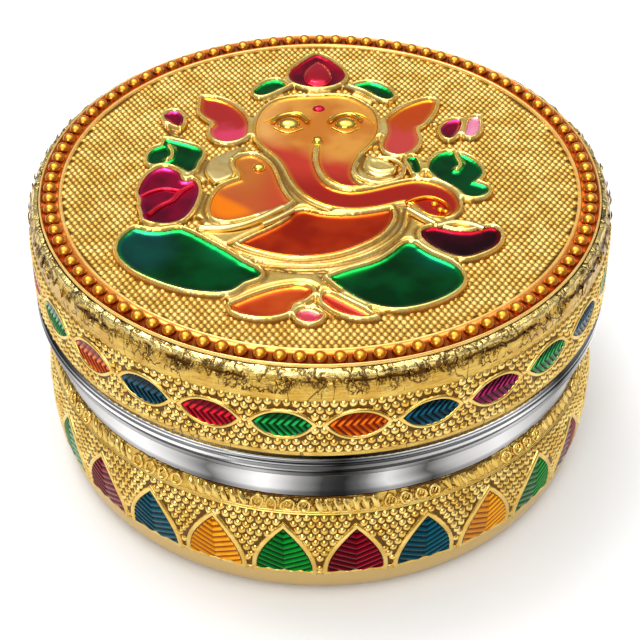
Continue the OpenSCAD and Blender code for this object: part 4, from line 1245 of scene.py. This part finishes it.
def makePillow(name, outline, low, steps):     # a rounded cushion of gold, its outline in shares
    pillow = openFace([(*onFigure(x, y), low) for x, y in outline], (0, 0, 1))
    for thickness, depth in steps:
        bpy.ops.mesh.inset(thickness=thickness * mm, depth=depth * mm, use_even_offset=False)
    closeUp()
    modifier(pillow, "SUBSURF", levels=2, render_levels=2)
    settle(smooth(pillow), name, gold["smooth"])


dropOutline = ((-0.418, 0.07), (-0.405, 0.111), (-0.385, 0.134), (-0.332, 0.176), (-0.296, 0.195), (-0.263, 0.202),
               (-0.291, 0.172), (-0.312, 0.137), (-0.328, 0.092), (-0.315, 0.054), (-0.303, 0.023), (-0.324, -0.002),
               (-0.352, -0.02), (-0.38, -0.032), (-0.403, 0.005), (-0.419, 0.036))
makePillow("goldDrop", dropOutline, fieldZ + 0.5, ((0.05, 0.3), (0.2, 0.14), (0.3, 0.06)))
makePillow("goldDish", arc(0.22, 0.067, 0.056, 0.05, 0, 342, 19), fieldZ + 0.2,
           ((0.05, 0.34), (0.25, 0.16), (0.4, 0.06)))
mount("dishRim", gold["smooth"], "gold_sheet", [
    makeTube(arc(0.215, 0.062, 0.09, 0.08, -210, 90, 10), 0.3, fieldZ + 0.5),
    makeTube(((0.185, 0.072), (0.2, 0.055), (0.225, 0.052), (0.24, 0.066)), 0.16, fieldZ + 0.78)])
print("figure is finished")


# floor, light and camera

studioLooks = {     # brightness of the sky by height, lamps with place, size and power, and the camera in mm
    "sky": ((0.0, 0.45), (0.12, 0.3), (0.3, 0.22), (0.5, 0.32), (0.74, 0.46), (0.82, 1.2), (0.9, 2.2), (1.0, 2.5)),
    "lamps": {"overhead": ((-0.3, 0.3, 1.1), 0.5, 4.5), "front": ((-0.25, -0.9, 0.7), 0.6, 4.5)},
    "camera": (0, -163.6, 154.6), "lens": 87.59, "down": 40.57,
}


def makeStudio():
    s = studioLooks
    floor = add(bpy.ops.mesh.primitive_plane_add, size=6)
    floor.name = "floor"
    floor.data.materials.append(Paint("paleFloor", baseColor=(0.9, 0.9, 0.9, 1), roughness=0.6).material)
    world = bpy.context.scene.world = bpy.data.worlds.new("studio")
    sky = Nodes(world)
    up = sky.node("SeparateXYZ", None, {0: sky.node("TexCoord", out="Generated")}, 2)
    stops = [(height, (grey, grey, grey, 1)) for height, grey in s["sky"]]
    sky.feed(sky.tree.nodes["Background"].inputs[0], sky.node("ValToRGB", {"stops": stops}, {0: up}))
    for name, (stand, size, power) in s["lamps"].items():
        lamp = bpy.data.lights.new(name, "AREA")
        lamp.size, lamp.energy = size, power
        placed(name, lamp, stand, (-Vector(stand)).to_track_quat("-Z", "Y").to_euler())
    camera = bpy.data.cameras.new("camera")
    camera.lens, camera.sensor_width, camera.clip_start = s["lens"], 36, 0.01
    bpy.context.scene.camera = placed("camera", camera, Vector(s["camera"]) * mm, (math.radians(90 - s["down"]), 0, 0))
    bpy.context.scene.view_settings.view_transform = "Standard"


makeStudio()
bpy.context.view_layer.update()
